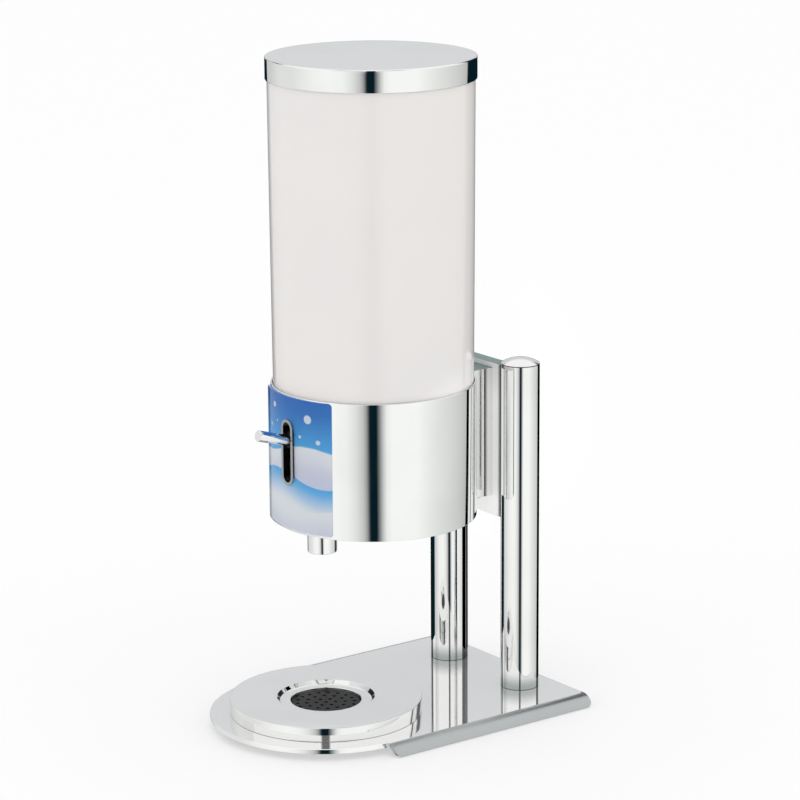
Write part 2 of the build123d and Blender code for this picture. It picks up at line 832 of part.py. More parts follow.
# Union nut over the port and the elbow
with BuildPart() as inlet_nut:
    with BuildSketch(upright_plane(inlet_nut_rear_y)):
        with Locations((0, port_height)):
            RegularPolygon(inlet_nut_flats / 2, 6, major_radius=False)
    extrude(amount=inlet_nut_rear_y - inlet_nut_front_y)
    with BuildSketch(upright_plane(inlet_nut_rear_y)):
        with Locations((0, port_height)):
            Circle(elbow_radius)
    extrude(amount=inlet_nut_rear_y - inlet_nut_front_y, mode=Mode.SUBTRACT)
    with BuildSketch(upright_plane(port_reach_y)):
        with Locations((0, port_height)):
            Circle(port_boss)
    extrude(amount=port_reach_y - inlet_nut_front_y, mode=Mode.SUBTRACT)
    with BuildSketch(Plane.XY.offset(floor_top)):
        with Locations((0, tap_y)):
            Circle(tap_radius)
    extrude(amount=tap_top - floor_top, mode=Mode.SUBTRACT)
inlet_nut.part.label = "inlet_nut"
export_step(inlet_nut.part, "parts/inlet_nut.step")

# Bonnet: closes the tap, guides the stem and carries the pivot between two ears
with BuildPart() as bonnet:
    with BuildSketch(Plane.XY.offset(tap_top)):
        with Locations((0, tap_y)):
            Circle(tap_radius)
    extrude(amount=bonnet_top - tap_top)
    chamfer(bonnet.faces().sort_by(Axis.Z)[-1].edges(), bonnet_edge)
    with BuildSketch(Plane.XY.offset(tap_top)):
        with Locations((0, tap_y)):
            Circle(tap_chamber)
    extrude(amount=-bonnet_spigot)
    for side in (-1, 1):
        with BuildSketch(Plane.YZ.offset(side * ear_inner_x)):
            with Locations((pivot_y, pivot_z)):
                Circle(ear_radius)
            with BuildLine():
                Polyline(
                    (tap_y - tap_radius + bonnet_edge, bonnet_top - ear_root),
                    (pivot_y - ear_radius, pivot_z),
                    (pivot_y + ear_radius, pivot_z),
                    (tap_y + ear_foot_half, bonnet_top - ear_root),
                    close=True,
                )
            make_face()
        extrude(amount=side * (ear_outer_x - ear_inner_x))
    with BuildSketch(Plane.YZ.offset(-ear_outer_x)):
        with Locations((pivot_y, pivot_z)):
            Circle(pivot_radius)
    extrude(amount=2 * ear_outer_x, mode=Mode.SUBTRACT)
    with BuildSketch(Plane.XY.offset(tap_top - bonnet_spigot)):
        with Locations((0, tap_y)):
            Circle(stem_radius + stem_clearance)
    extrude(amount=bonnet_top - tap_top + bonnet_spigot, mode=Mode.SUBTRACT)
    with BuildSketch(Plane.XY.offset(stem_seal_height - seal_wire)):
        with Locations((0, tap_y)):
            Circle(stem_radius + stem_clearance + 2 * seal_wire)
    extrude(amount=2 * seal_wire, mode=Mode.SUBTRACT)
    with BuildSketch(Plane.XY.offset(bonnet_seal_height - seal_wire)):
        with Locations((0, tap_y)):
            Circle(tap_chamber)
            Circle(tap_chamber - 2 * seal_wire, mode=Mode.SUBTRACT)
    extrude(amount=2 * seal_wire, mode=Mode.SUBTRACT)
bonnet.part.label = "bonnet"
export_step(bonnet.part, "parts/bonnet.step")

# Seals of the bonnet: one against the tap body, one round the stem
for seal_name, seal_radius, seal_height in (
    ("bonnet_seal", tap_chamber - seal_wire, bonnet_seal_height),
    ("stem_seal", stem_radius + stem_clearance + seal_wire, stem_seal_height),
):
    with BuildPart() as seal:
        with BuildSketch(upright_plane(tap_y)):
            with Locations((seal_radius, seal_height)):
                Circle(seal_wire)
        revolve(axis=upright_axis(tap_y))
    seal.part.label = seal_name
    export_step(seal.part, f"parts/{seal_name}.step")

# Pivot pin in the ears, with its clip
with BuildPart() as pivot_pin:
    with BuildSketch(Plane.YZ.offset(-ear_outer_x - pivot_pin_tail)):
        with Locations((pivot_y, pivot_z)):
            Circle(pivot_radius)
    extrude(amount=2 * ear_outer_x + pivot_pin_tail)
    with BuildSketch(Plane.YZ.offset(ear_outer_x)):
        with Locations((pivot_y, pivot_z)):
            Circle(pivot_head)
    extrude(amount=pivot_head_thickness)
pivot_pin.part.label = "pivot_pin"
export_step(pivot_pin.part, "parts/pivot_pin.step")

with BuildPart() as pivot_clip:
    with BuildSketch(Plane.YZ.offset(-ear_outer_x)):
        with Locations((pivot_y, pivot_z)):
            Circle(pivot_head)
            Circle(pivot_radius, mode=Mode.SUBTRACT)
            with Locations((0, -pivot_head)):
                Rectangle(clip_gap, pivot_head, mode=Mode.SUBTRACT)
    extrude(amount=-clip_thickness)
pivot_clip.part.label = "pivot_clip"
export_step(pivot_clip.part, "parts/pivot_clip.step")

# Lever: its own plane has the rod along its first axis and its normal along the pivot
rod_direction = Vector(0, -cos(radians(lever_tilt)), sin(radians(lever_tilt)))
lever_plane = Plane(origin=(0, pivot_y, pivot_z), x_dir=rod_direction, z_dir=(-1, 0, 0))
rod_base = Plane(origin=(0, pivot_y, pivot_z), x_dir=(1, 0, 0), z_dir=rod_direction)
arm_direction = Vector(cos(radians(arm_angle)), sin(radians(arm_angle)))
arm_slot_near = pivot_offset - arm_slot_play
arm_slot_far = arm_reach_far + arm_slot_play
arm_slot_middle = (arm_slot_near + arm_slot_far) / 2
arm_slot_half_height = stem_pin_radius + stem_pin_gap
with BuildPart() as lever_hub:
    with BuildSketch(lever_plane):
        Circle(hub_arm_root)
        with BuildLine():
            arm_end = arm_direction * arm_slot_middle
            arm_side = Vector(-arm_direction.Y, arm_direction.X)
            Polyline(
                arm_side * hub_arm_root,
                arm_end + arm_side * hub_arm_end,
                arm_end - arm_side * hub_arm_end,
                arm_side * -hub_arm_root,
                close=True,
            )
        make_face()
        with Locations((arm_end.X, arm_end.Y)):
            Circle(hub_arm_end)
    extrude(amount=hub_half_width, both=True)
    with BuildSketch(lever_plane):
        with BuildLine():
            Polyline(
                (hub_gap_front, -hub_gap_reach),
                (-hub_gap_reach, -hub_gap_reach),
                (-hub_gap_reach, hub_gap_reach),
                (hub_gap_front, hub_gap_reach),
                close=True,
            )
        make_face()
        Circle(hub_centre_radius, mode=Mode.SUBTRACT)
    extrude(amount=hub_arm_inner_x, both=True, mode=Mode.SUBTRACT)
    with BuildSketch(rod_base):
        Circle(hub_boss_radius)
    extrude(amount=hub_boss_length)
    chamfer(lever_hub.faces().sort_by(Axis.Y)[0].edges(), hub_boss_edge)
    with BuildSketch(lever_plane):
        Circle(bush_radius)
    extrude(amount=hub_half_width, both=True, mode=Mode.SUBTRACT)
    with BuildSketch(rod_base.offset(rod_thread_start)):
        Circle(rod_thread)
    extrude(amount=hub_boss_length - rod_thread_start, mode=Mode.SUBTRACT)
    with BuildSketch(lever_plane):
        with Locations((arm_end.X, arm_end.Y)):
            SlotOverall(
                arm_slot_far - arm_slot_near + 2 * arm_slot_half_height,
                2 * arm_slot_half_height,
                rotation=arm_angle,
            )
    extrude(amount=hub_half_width, both=True, mode=Mode.SUBTRACT)
lever_hub.part.label = "lever_hub"
export_step(lever_hub.part, "parts/lever_hub.step")

# Bush in the hub
with BuildPart() as lever_bush:
    with BuildSketch(lever_plane):
        Circle(bush_radius)
        Circle(pivot_radius + pivot_clearance, mode=Mode.SUBTRACT)
    extrude(amount=hub_half_width, both=True)
lever_bush.part.label = "lever_bush"
export_step(lever_bush.part, "parts/lever_bush.step")

# Handle rod, screwed into the hub
with BuildPart() as lever_rod:
    with BuildSketch(rod_base.offset(hub_boss_length)):
        Circle(rod_radius)
    extrude(amount=rod_length - hub_boss_length)
    chamfer(lever_rod.edges().filter_by(GeomType.CIRCLE).sort_by(Axis.Y)[0], rod_edge)
    with BuildSketch(rod_base.offset(rod_thread_start)):
        Circle(rod_thread)
    extrude(amount=hub_boss_length - rod_thread_start)
lever_rod.part.label = "lever_rod"
export_step(lever_rod.part, "parts/lever_rod.step")

# Stem with its head and the collar that the spring pushes on
with BuildPart() as valve_stem:
    with BuildSketch(Plane.XY.offset(seat_height + plug_thickness - plug_grip)):
        with Locations((0, tap_y)):
            Circle(stem_radius)
    extrude(amount=stem_pin_z - stem_head_below - (seat_height + plug_thickness - plug_grip))
    with BuildSketch(Plane.XY.offset(seat_height + plug_thickness)):
        with Locations((0, tap_y)):
            Circle(plug_radius)
    extrude(amount=collar_thickness)
    with BuildSketch(Plane.XY.offset(stem_pin_z - stem_head_below)):
        with Locations((0, tap_y)):
            Rectangle(2 * stem_head_half_x, 2 * stem_head_half_y)
    extrude(amount=stem_head_below + stem_head_above)
    fillet(valve_stem.faces().sort_by(Axis.Z)[-1].edges().filter_by(Axis.X), stem_head_rounding)
    with BuildSketch(Plane.YZ.offset(-stem_head_half_x)):
        with Locations((tap_y, stem_pin_z)):
            Circle(stem_pin_radius)
    extrude(amount=2 * stem_head_half_x, mode=Mode.SUBTRACT)
valve_stem.part.label = "valve_stem"
export_step(valve_stem.part, "parts/valve_stem.step")

# Cross pin that the lever's arms lift
with BuildPart() as stem_pin:
    with BuildSketch(Plane.YZ.offset(-hub_half_width)):
        with Locations((tap_y, stem_pin_z)):
            Circle(stem_pin_radius)
    extrude(amount=2 * hub_half_width)
stem_pin.part.label = "stem_pin"
export_step(stem_pin.part, "parts/stem_pin.step")

# Silicone plug on the end of the stem
with BuildPart() as valve_plug:
    with BuildSketch(upright_plane(tap_y)):
        with BuildLine():
            Polyline(
                (0, seat_height),
                (plug_radius, seat_height),
                (plug_radius, seat_height + plug_rim),
                (plug_radius - plug_rim, seat_height + plug_thickness),
                (stem_radius, seat_height + plug_thickness),
                (stem_radius, seat_height + plug_thickness - plug_grip),
                (0, seat_height + plug_thickness - plug_grip),
                close=True,
            )
        make_face()
    revolve(axis=upright_axis(tap_y))
valve_plug.part.label = "valve_plug"
export_step(valve_plug.part, "parts/valve_plug.step")

# Return spring round the stem
spring_pitch = (spring_top - spring_bottom - spring_wire) / spring_turns
with BuildPart() as return_spring:
    with BuildLine(Plane(origin=(0, tap_y, spring_bottom + spring_wire / 2))) as coil:
        Helix(spring_pitch, spring_pitch * spring_turns, spring_mean_radius)
    with BuildSketch(Plane(origin=coil.line @ 0, z_dir=coil.line % 0)):
        Circle(spring_wire / 2)
    sweep()
return_spring.part.label = "return_spring"
export_step(return_spring.part, "parts/return_spring.step")

# Lid: a spun cap over the container's mouth
with BuildPart() as lid:
    with BuildSketch(Plane.XY.offset(lid_bottom)):
        with Locations((0, drum_y)):
            Circle(lid_radius)
    extrude(amount=lid_top - lid_bottom)
    fillet(lid.faces().sort_by(Axis.Z)[-1].edges(), lid_edge)
    with BuildSketch(Plane.XY.offset(lid_bottom)):
        with Locations((0, drum_y)):
            Circle(lid_radius - lid_skirt)
    extrude(amount=lid_top - lid_roof - lid_bottom, mode=Mode.SUBTRACT)
lid.part.label = "lid"
export_step(lid.part, "parts/lid.step")

# Liner under the lid, with the ring that centres it in the container
liner_top = lid_top - lid_roof
liner_bottom = liner_top - liner_thickness
with BuildPart() as lid_liner:
    with BuildSketch(upright_plane(drum_y)):
        with BuildLine():
            Polyline(
                (0, liner_top),
                (liner_radius, liner_top),
                (liner_radius, liner_bottom),
                (liner_spigot_outer, liner_bottom),
                (liner_spigot_outer, liner_spigot_bottom + liner_spigot_edge),
                (liner_spigot_outer - liner_spigot_edge, liner_spigot_bottom),
                (liner_spigot_inner, liner_spigot_bottom),
                (liner_spigot_inner, liner_bottom),
                (0, liner_bottom),
                close=True,
            )
        make_face()
    revolve(axis=upright_axis(drum_y))
lid_liner.part.label = "lid_liner"
export_step(lid_liner.part, "parts/lid_liner.step")

# Seal between the liner and the container's rim
with BuildPart() as lid_seal:
    with BuildSketch(Plane.XY.offset(container_top)):
        with Locations((0, drum_y)):
            Circle(lid_seal_outer)
            Circle(lid_seal_inner, mode=Mode.SUBTRACT)
    extrude(amount=liner_bottom - container_top)
lid_seal.part.label = "lid_seal"
export_step(lid_seal.part, "parts/lid_seal.step")

# Drip pan on the base
with BuildPart() as drip_pan:
    with BuildSketch(Plane.XY.offset(base_top)):
        with Locations((0, tray_y)):
            Circle(pan_radius)
    extrude(amount=pan_top - base_top)
    fillet(drip_pan.faces().sort_by(Axis.Z)[0].edges(), pan_corner)
    offset(amount=-pan_wall, openings=drip_pan.faces().sort_by(Axis.Z)[-1])
drip_pan.part.label = "drip_pan"
export_step(drip_pan.part, "parts/drip_pan.step")

# Tray cover: a low cap over the pan, with a recess for a cup and a well in it
recess_floor = cover_top - recess_depth
with BuildPart() as tray_cover:
    with BuildSketch(upright_plane(tray_y)):
        with BuildLine():
            Polyline(
                (cover_radius, base_top),
                (cover_radius, cover_top - cover_edge),
                (cover_radius - cover_edge, cover_top),
                (recess_radius, cover_top),
                (recess_radius - recess_slope, recess_floor),
                (well_radius, recess_floor),
                (well_radius, well_lip_top),
                (well_lip_radius, well_lip_top),
                (well_lip_radius, well_lip_top - cover_wall),
                (well_radius + cover_wall, well_lip_top - cover_wall),
                (well_radius + cover_wall, recess_floor - cover_wall),
                (recess_radius - recess_slope + cover_wall, recess_floor - cover_wall),
                (recess_radius + cover_wall, cover_top - cover_wall),
                (cover_radius - cover_wall, cover_top - cover_wall),
                (cover_radius - cover_wall, base_top),
                close=True,
            )
        make_face()
    revolve(axis=upright_axis(tray_y))
tray_cover.part.label = "tray_cover"
export_step(tray_cover.part, "parts/tray_cover.step")

# Perforated mat in the well
with BuildPart() as well_mat:
    with BuildSketch(Plane.XY.offset(well_lip_top)):
        with Locations((0, tray_y)):
            Circle(mat_radius)
            Circle(mat_hole_radius, mode=Mode.SUBTRACT)
            for count, ring_radius in mat_hole_rings:
                with PolarLocations(ring_radius, count):
                    Circle(mat_hole_radius, mode=Mode.SUBTRACT)
    extrude(amount=mat_thickness)
well_mat.part.label = "well_mat"
export_step(well_mat.part, "parts/well_mat.step")

print(f"stem lift {stem_lift:.3f} mm, ratio {stem_lift / radians(lever_travel):.4f} mm per radian")
print(f"spring gap between turns {spring_pitch - spring_wire:.2f} mm")
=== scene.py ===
"""Looks, front picture and studio for a buffet milk dispenser.

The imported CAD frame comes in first. Round pieces that the light plays on are turned again with
fine rings, and the rest of the CAD nodes get finishes. A white studio with dark gaps stands round
it, with two cards that only polished steel sees.
Lengths are metres in the frame's own axes: +Z up, the lever faces -Y.
"""
import json
from math import asin, cos, pi, radians, sin

import bmesh
import bpy
from bpy.props import FloatProperty, FloatVectorProperty, IntProperty, PointerProperty
from mathutils import Matrix, Vector


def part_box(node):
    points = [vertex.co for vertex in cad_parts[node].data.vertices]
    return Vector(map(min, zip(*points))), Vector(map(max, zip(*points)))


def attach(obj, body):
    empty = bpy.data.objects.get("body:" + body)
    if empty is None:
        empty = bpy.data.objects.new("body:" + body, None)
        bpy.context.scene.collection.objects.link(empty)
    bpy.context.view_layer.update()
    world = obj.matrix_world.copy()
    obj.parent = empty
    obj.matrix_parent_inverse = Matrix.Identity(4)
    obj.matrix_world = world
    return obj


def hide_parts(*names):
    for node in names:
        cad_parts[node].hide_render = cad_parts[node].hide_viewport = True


bl_info = {
    "name": "Milk Dispenser Looks",
    "version": (1, 0, 0),
    "blender": (4, 5, 0),
    "location": "View3D > Sidebar > Dispenser",
    "description": "Turned pieces, finishes, a front picture and a studio for a milk dispenser",
    "category": "Object",
}

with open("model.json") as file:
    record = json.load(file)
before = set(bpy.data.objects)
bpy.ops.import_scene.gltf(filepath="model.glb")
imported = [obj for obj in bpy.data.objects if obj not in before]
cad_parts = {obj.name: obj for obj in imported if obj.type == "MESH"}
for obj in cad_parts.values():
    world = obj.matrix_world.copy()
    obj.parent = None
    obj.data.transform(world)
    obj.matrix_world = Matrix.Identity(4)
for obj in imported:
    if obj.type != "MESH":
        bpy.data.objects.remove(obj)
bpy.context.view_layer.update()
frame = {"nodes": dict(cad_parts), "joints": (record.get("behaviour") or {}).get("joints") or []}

MM = 0.001


def round_box(node):
    """Low and high corners, middle y and radius of an upright round node."""
    low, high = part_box(node)
    return low, high, (low.y + high.y) / 2, (high.x - low.x) / 2


# Places and sizes that the frame gives
DRUM_LOW, DRUM_HIGH, DRUM_Y, DRUM_RADIUS = round_box("housing_drum")
LID_LOW, LID_HIGH, _, LID_RADIUS = round_box("lid")
CONTAINER_LOW, CONTAINER_HIGH, _, CONTAINER_RADIUS = round_box("container")
COVER_LOW, COVER_HIGH, TRAY_Y, COVER_RADIUS = round_box("tray_cover")
SPOUT_LOW, SPOUT_HIGH, SPOUT_Y, SPOUT_RADIUS = round_box("spout")
PANEL_LOW, PANEL_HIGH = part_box("front_panel")
BEZEL_LOW, BEZEL_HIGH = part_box("slot_bezel")
SLOT_WIDTH = BEZEL_HIGH.x - BEZEL_LOW.x
SLOT_HEIGHT = BEZEL_HIGH.z - BEZEL_LOW.z
SLOT_Z = (BEZEL_LOW.z + BEZEL_HIGH.z) / 2

# Sheet and wall thicknesses
DRUM_WALL = 1.5 * MM
TUBE_WALL = 1.5 * MM
CONTAINER_WALL = 2.5 * MM
BEZEL_WALL = 2.4 * MM
CARD_THICKNESS = 0.42 * MM
PANEL_BORE_GAP = 0.4 * MM
PANEL_THICKNESS = 2.0 * MM
PANEL_CORNER = 3 * MM

# How round pieces are made
SHARP_ANGLE = radians(32)
SHEET_STEPS = 512
TUBE_STEPS = 96
ROD_STEPS = 64
DOME_STEPS = 14
ON_AXIS = 1e-6

# Lines and marks in the polish
WIPE_SCALE = 14.0
BASE_WIPE_SCALE = 9.0
SCRATCH_SCALE = 900.0
POLISH_SPREAD = 0.05
TOP_HAZE = 0.2

# Picture on the card behind the clear panel, in parts of its half width and its height
HILLS = (
    {"height": 0.60, "swing": 0.055, "turns": 2.1, "start": 0.5, "fine": 0.012},
    {"height": 0.40, "swing": 0.045, "turns": 2.7, "start": 2.4, "fine": 0.008},
    {"height": 0.20, "swing": 0.035, "turns": 2.2, "start": 4.1, "fine": 0.006},
)
# Round flakes above the hills: (across, up, diameter)
FLAKES = (
    (0.52, 0.86, 0.070),
    (-0.50, 0.90, 0.045),
    (0.74, 0.70, 0.038),
    (0.33, 0.72, 0.026),
    (-0.66, 0.74, 0.030),
    (-0.38, 0.79, 0.018),
)

# What polished steel sees round it: (degrees to the right of the camera, grey), a dark gap at 0.
# The white side card hides where the left wall ends.
STUDIO_WALL = (
    (-180, 0.002),
    (-104, 0.002),
    (-100, 0.79),
    (-90, 0.82),
    (-66, 0.95),
    (-45, 1.00),
    (-30, 0.95),
    (-20, 0.80),
    (-12, 0.58),
    (-8, 0.33),
    (-5, 0.003),
    (3, 0.002),
    (6, 0.22),
    (10, 0.60),
    (14, 0.90),
    (20, 1.00),
    (50, 1.00),
    (60, 0.93),
    (75, 0.83),
    (95, 0.73),
    (115, 0.62),
    (125, 0.54),
    (127, 0.52),
    (128.5, 0.002),
    (180, 0.002),
)
# The studio above the walls. Turns are degrees from the camera, to either side, and heights are
# the Z of a unit direction: each pair is where a zone's soft edge starts and ends.
WALL_TOP = (-0.08, 0.06)
ROOF = (0.42, 0.65)
DARK_SIDES = (121, 127)
GREY_BACK = (152, 161)
SLIT = (3.5, 6.5)
BEAM_ENDS = (34, 55)
BEAM_FOOT = (0.46, 0.52)
BEAM_HEAD = (0.66, 0.80)
WHITE_SIDE = (0.97, 0.97, 0.97)
GREY_SIDE = (0.655, 0.672, 0.685)
WHITE_ROOF = (0.98, 0.98, 0.98)
NEAR_BLACK = (0.02, 0.022, 0.024)

# Cards that only polished steel sees: a white one to the left, and a black one behind
SIDE_CARD = ((-0.199, -0.36, -0.3), (-0.199, -0.053, 0.62))
REAR_CARD = ((-0.028, 0.247, -0.1), (0.075, 0.247, 0.283))
SIDE_CARD_SHADE = (-0.20, -0.053)

# Lights: where the lamps hang and what they are turned to
MIDDLE = (0, 0, 0.28)
KEY_PLACE = (0.1, -2.2, 1.6)
FILL_PLACE = (2.2, 0.9, 1.4)
FILL_SHARE = 0.5
SOFT_LIGHT_SIZE = 1.6
PLATE_LIGHT_PLACE = (1.2, -0.77, 0.5)
PLATE_LIGHT_TARGET = (0.03, 0.1045, 0.205)
FLOOR_REACH = 12.0


def screen_colour(red, green, blue):
    """A colour given as 0 to 255 on screen, as the linear values that shaders take."""
    linear = []
    for part in (red, green, blue):
        share = part / 255
        linear.append(share / 12.92 if share <= 0.04045 else ((share + 0.055) / 1.055) ** 2.4)
    return tuple(linear)


def colour_setting(label, note, default):
    """One colour in the add-on's settings."""
    return FloatVectorProperty(
        name=label, description=note, subtype="COLOR", size=3, min=0, max=1, default=default
    )


def place_setting(label, note, default):
    """One place in the add-on's settings."""
    return FloatVectorProperty(
        name=label, description=note, subtype="TRANSLATION", unit="LENGTH", size=3, default=default
    )


class DispenserFinish(bpy.types.PropertyGroup):
    """Colours and roughness of the dispenser's finishes."""

    steel_colour: colour_setting("Steel", "Colour of the polished steel", (0.925, 0.925, 0.92))
    steel_roughness: FloatProperty(
        name="Polish",
        description="Roughness of the mirror-polished steel",
        min=0,
        max=1,
        default=0.025,
        subtype="FACTOR",
    )
    satin_colour: colour_setting(
        "Satin steel", "Colour of the duller machined steel", (0.60, 0.61, 0.61)
    )
    milky_colour: colour_setting(
        "Container", "Colour of the milky container", screen_colour(233, 229, 226)
    )
    picture_blue: colour_setting(
        "Picture blue", "Darkest blue of the front picture", screen_colour(0, 112, 205)
    )
    picture_sky: colour_setting(
        "Picture light blue", "Lighter blue of the front picture", screen_colour(78, 186, 250)
    )
    picture_pale: colour_setting(
        "Picture white", "Palest tone of the front picture", screen_colour(248, 251, 255)
    )
    picture_violet: colour_setting(
        "Picture lavender", "Cool shade low in the front picture", screen_colour(222, 226, 246)
    )


class DispenserMesh(bpy.types.PropertyGroup):
    """How finely the turned pieces are made."""

    ring_steps: IntProperty(
        name="Ring steps",
        description="Flat faces round each turned piece",
        min=32,
        max=512,
        default=192,
    )
    edge_rounding: FloatProperty(
        name="Edge rounding",
        description="Radius on the edges of the turned pieces",
        min=0,
        max=0.005,
        default=0.4 * MM,
        unit="LENGTH",
    )


class DispenserStudio(bpy.types.PropertyGroup):
    """Camera, light and floor."""

    camera_place: place_setting(
        "Camera", "Where the camera stands", (2.06234, -1.49789, 0.90858)
    )
    camera_target: place_setting(
        "Target", "Point that the camera looks at", (-0.00605, 0.022015, 0.26068)
    )
    camera_roll: FloatProperty(
        name="Roll",
        description="Turn of the camera about its line of sight",
        default=radians(-0.399),
        unit="ROTATION",
    )
    lens: FloatProperty(
        name="Lens",
        description="Focal length",
        default=145.19,
        unit="CAMERA",
    )
    shift: FloatProperty(
        name="Shift",
        description="Sideways shift of the view",
        default=0.0129,
    )
    wall_strength: FloatProperty(
        name="Wall light",
        description="Brightness of the white studio",
        min=0,
        default=1.0,
    )
    key_power: FloatProperty(
        name="Key light",
        description="Power of the soft light from the left",
        min=0,
        default=2.5,
        unit="POWER",
    )


def finish_settings():
    return bpy.context.scene.dispenser_finish


def mesh_settings():
    return bpy.context.scene.dispenser_mesh


def studio_settings():
    return bpy.context.scene.dispenser_studio


# Mesh makers


def smooth(mesh):
    """Smooth shading, with the sharp edges marked."""
    mesh.shade_smooth()
    mesh.set_sharp_from_angle(angle=SHARP_ANGLE)


def mesh_object(name, shape):
    """Turns a bmesh into a smooth-shaded object with its sharp edges marked."""
    mesh = bpy.data.meshes.new(name)
    bmesh.ops.recalc_face_normals(shape, faces=shape.faces)
    shape.to_mesh(mesh)
    shape.free()
    smooth(mesh)
    piece = bpy.data.objects.new(name, mesh)
    bpy.context.scene.collection.objects.link(piece)
    return piece


def rounded(outline, roundings, steps=4):
    """An outline of (across, up) points with the named corners cut by arcs: {index: radius}."""
    points = []
    count = len(outline)
    for index, corner in enumerate(outline):
        radius = roundings.get(index, 0)
        if not radius:
            points.append(corner)
            continue
        here = Vector(corner)
        back = (Vector(outline[index - 1]) - here).normalized()
        ahead = (Vector(outline[(index + 1) % count]) - here).normalized()
        half = back.angle(ahead) / 2
        reach = radius / abs(sin(half) / cos(half))
        centre = here + (back + ahead).normalized() * (radius / sin(half))
        start = here + back * reach - centre
        end = here + ahead * reach - centre
        for step in range(steps + 1):
            arm = start.lerp(end, step / steps).normalized() * radius
            points.append(tuple(centre + arm))
    return points


def lathe(name, outline, centre, steps=None, closed=True):
    """Turns an outline of (radius, height) points round the upright line at centre (x, y)."""
    steps = steps or mesh_settings().ring_steps
    shape = bmesh.new()
    rings = []
    for radius, height in outline:
        turns = [2 * pi * step / steps for step in range(1 if radius < ON_AXIS else steps)]
        rings.append(
            [
                shape.verts.new(
                    (centre[0] + radius * cos(turn), centre[1] + radius * sin(turn), height)
                )
                for turn in turns
            ]
        )
    pairs = list(zip(rings, rings[1:]))
    if closed:
        pairs.append((rings[-1], rings[0]))
    for low, high in pairs:
        if len(low) == 1 and len(high) == 1:
            continue
        for step in range(steps):
            after = (step + 1) % steps
            corners = (
                ring[place % len(ring)]
                for ring, place in ((low, step), (low, after), (high, after), (high, step))
            )
            shape.faces.new(list(dict.fromkeys(corners)))
    return mesh_object(name, shape)


def slot_outline(width, height, middle_z, steps):
    """An upright slot with round ends, as (x, z) points."""
    radius = width / 2
    straight = height / 2 - radius
    points = []
    for end, first in ((1, 0), (-1, pi)):
        for step in range(steps + 1):
            angle = first + pi * step / steps
            points.append((radius * cos(angle), middle_z + end * straight + radius * sin(angle)))
    return points


def lever_window(steps=24):
    """The outline of the slot that the lever moves in."""
    return slot_outline(SLOT_WIDTH, SLOT_HEIGHT, SLOT_Z, steps)


def cutter(outline, near_y, far_y):
    """A prism along Y from an (x, z) outline, for cutting other pieces."""
    shape = bmesh.new()
    ends = [[shape.verts.new((x, y, z)) for x, z in outline] for y in (near_y, far_y)]
    shape.faces.new(ends[0])
    shape.faces.new(reversed(ends[1]))
    count = len(outline)
    for index in range(count):
        after = (index + 1) % count
        shape.faces.new((ends[0][index], ends[0][after], ends[1][after], ends[1][index]))
    return mesh_object("cutter", shape)


def cut(piece, tool, operation):
    """Applies a boolean to the piece and removes the tool."""
    modifier = piece.modifiers.new("cut", "BOOLEAN")
    modifier.operation = operation
    modifier.solver = "EXACT"
    modifier.object = tool
    apply_modifiers(piece)
    bpy.data.objects.remove(tool)


def apply_modifiers(piece):
    """Replaces the piece's mesh by what its modifiers make of it."""
    bpy.context.view_layer.update()
    shown = piece.evaluated_get(bpy.context.evaluated_depsgraph_get())
    mesh = bpy.data.meshes.new_from_object(shown)
    old = piece.data
    piece.modifiers.clear()
    piece.data = mesh
    bpy.data.meshes.remove(old)
    mesh.name = piece.name
    smooth(mesh)


def soften_edges(piece, width):
    """A narrow rounding on every sharp edge."""
    bevel = piece.modifiers.new("edges", "BEVEL")
    bevel.width = width
    bevel.segments = 3
    bevel.limit_method = "ANGLE"
    bevel.angle_limit = radians(40)
    bevel.harden_normals = True


def seat_piece(piece, body, slot, material, *nodes):
    """Rides the piece on its body in place of CAD nodes, with its finish."""
    piece.data.materials.clear()
    piece.data.materials.append(material)
    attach(piece, body)
    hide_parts(*nodes)
    return piece


def dress(material, *nodes):
    """Gives CAD nodes a finish."""
    for node in nodes:
        mesh = frame["nodes"][node].data
        mesh.materials.clear()
        mesh.materials.append(material)


# Node makers


def set_values(node, values):
    """Sets a node's unlinked inputs, given by name."""
    for socket_name, value in values.items():
        node.inputs[socket_name].default_value = value


def calc(tree, operation, *values):
    """One Math node. A value is a number or another node's output."""
    node = tree.nodes.new("ShaderNodeMath")
    node.operation = operation
    for socket, value in zip(node.inputs, values):
        if isinstance(value, (int, float)):
            socket.default_value = value
        else:
            tree.links.new(value, socket)
    return node.outputs[0]


def ease(tree, value, low, high):
    """0 below low, 1 above high, smooth between."""
    node = tree.nodes.new("ShaderNodeMapRange")
    node.interpolation_type = "SMOOTHSTEP"
    set_values(node, {"From Min": low, "From Max": high})
    tree.links.new(value, node.inputs["Value"])
    return node.outputs["Result"]


def fade(tree, value, low, high):
    """1 below low, 0 above high, smooth between."""
    return calc(tree, "SUBTRACT", 1.0, ease(tree, value, low, high))


def spread(tree, value, low, high):
    """A 0 to 1 mask spread over low to high."""
    node = tree.nodes.new("ShaderNodeMapRange")
    set_values(node, {"To Min": low, "To Max": high})
    tree.links.new(value, node.inputs["Value"])
    return node.outputs["Result"]


def blend_colours(tree, factor, first, second):
    """Mixes two colours, each a tuple or a node's output."""
    node = tree.nodes.new("ShaderNodeMix")
    node.data_type = "RGBA"
    tree.links.new(factor, node.inputs["Factor"])
    for socket, value in ((node.inputs["A"], first), (node.inputs["B"], second)):
        if isinstance(value, bpy.types.NodeSocket):
            tree.links.new(value, socket)
        else:
            socket.default_value = (*value, 1)
    return node.outputs["Result"]


def object_place(tree):
    """x, y and z of the surface point in the frame's axes."""
    place = tree.nodes.new("ShaderNodeTexCoord")
    parts = tree.nodes.new("ShaderNodeSeparateXYZ")
    tree.links.new(place.outputs["Object"], parts.inputs[0])
    return parts.outputs


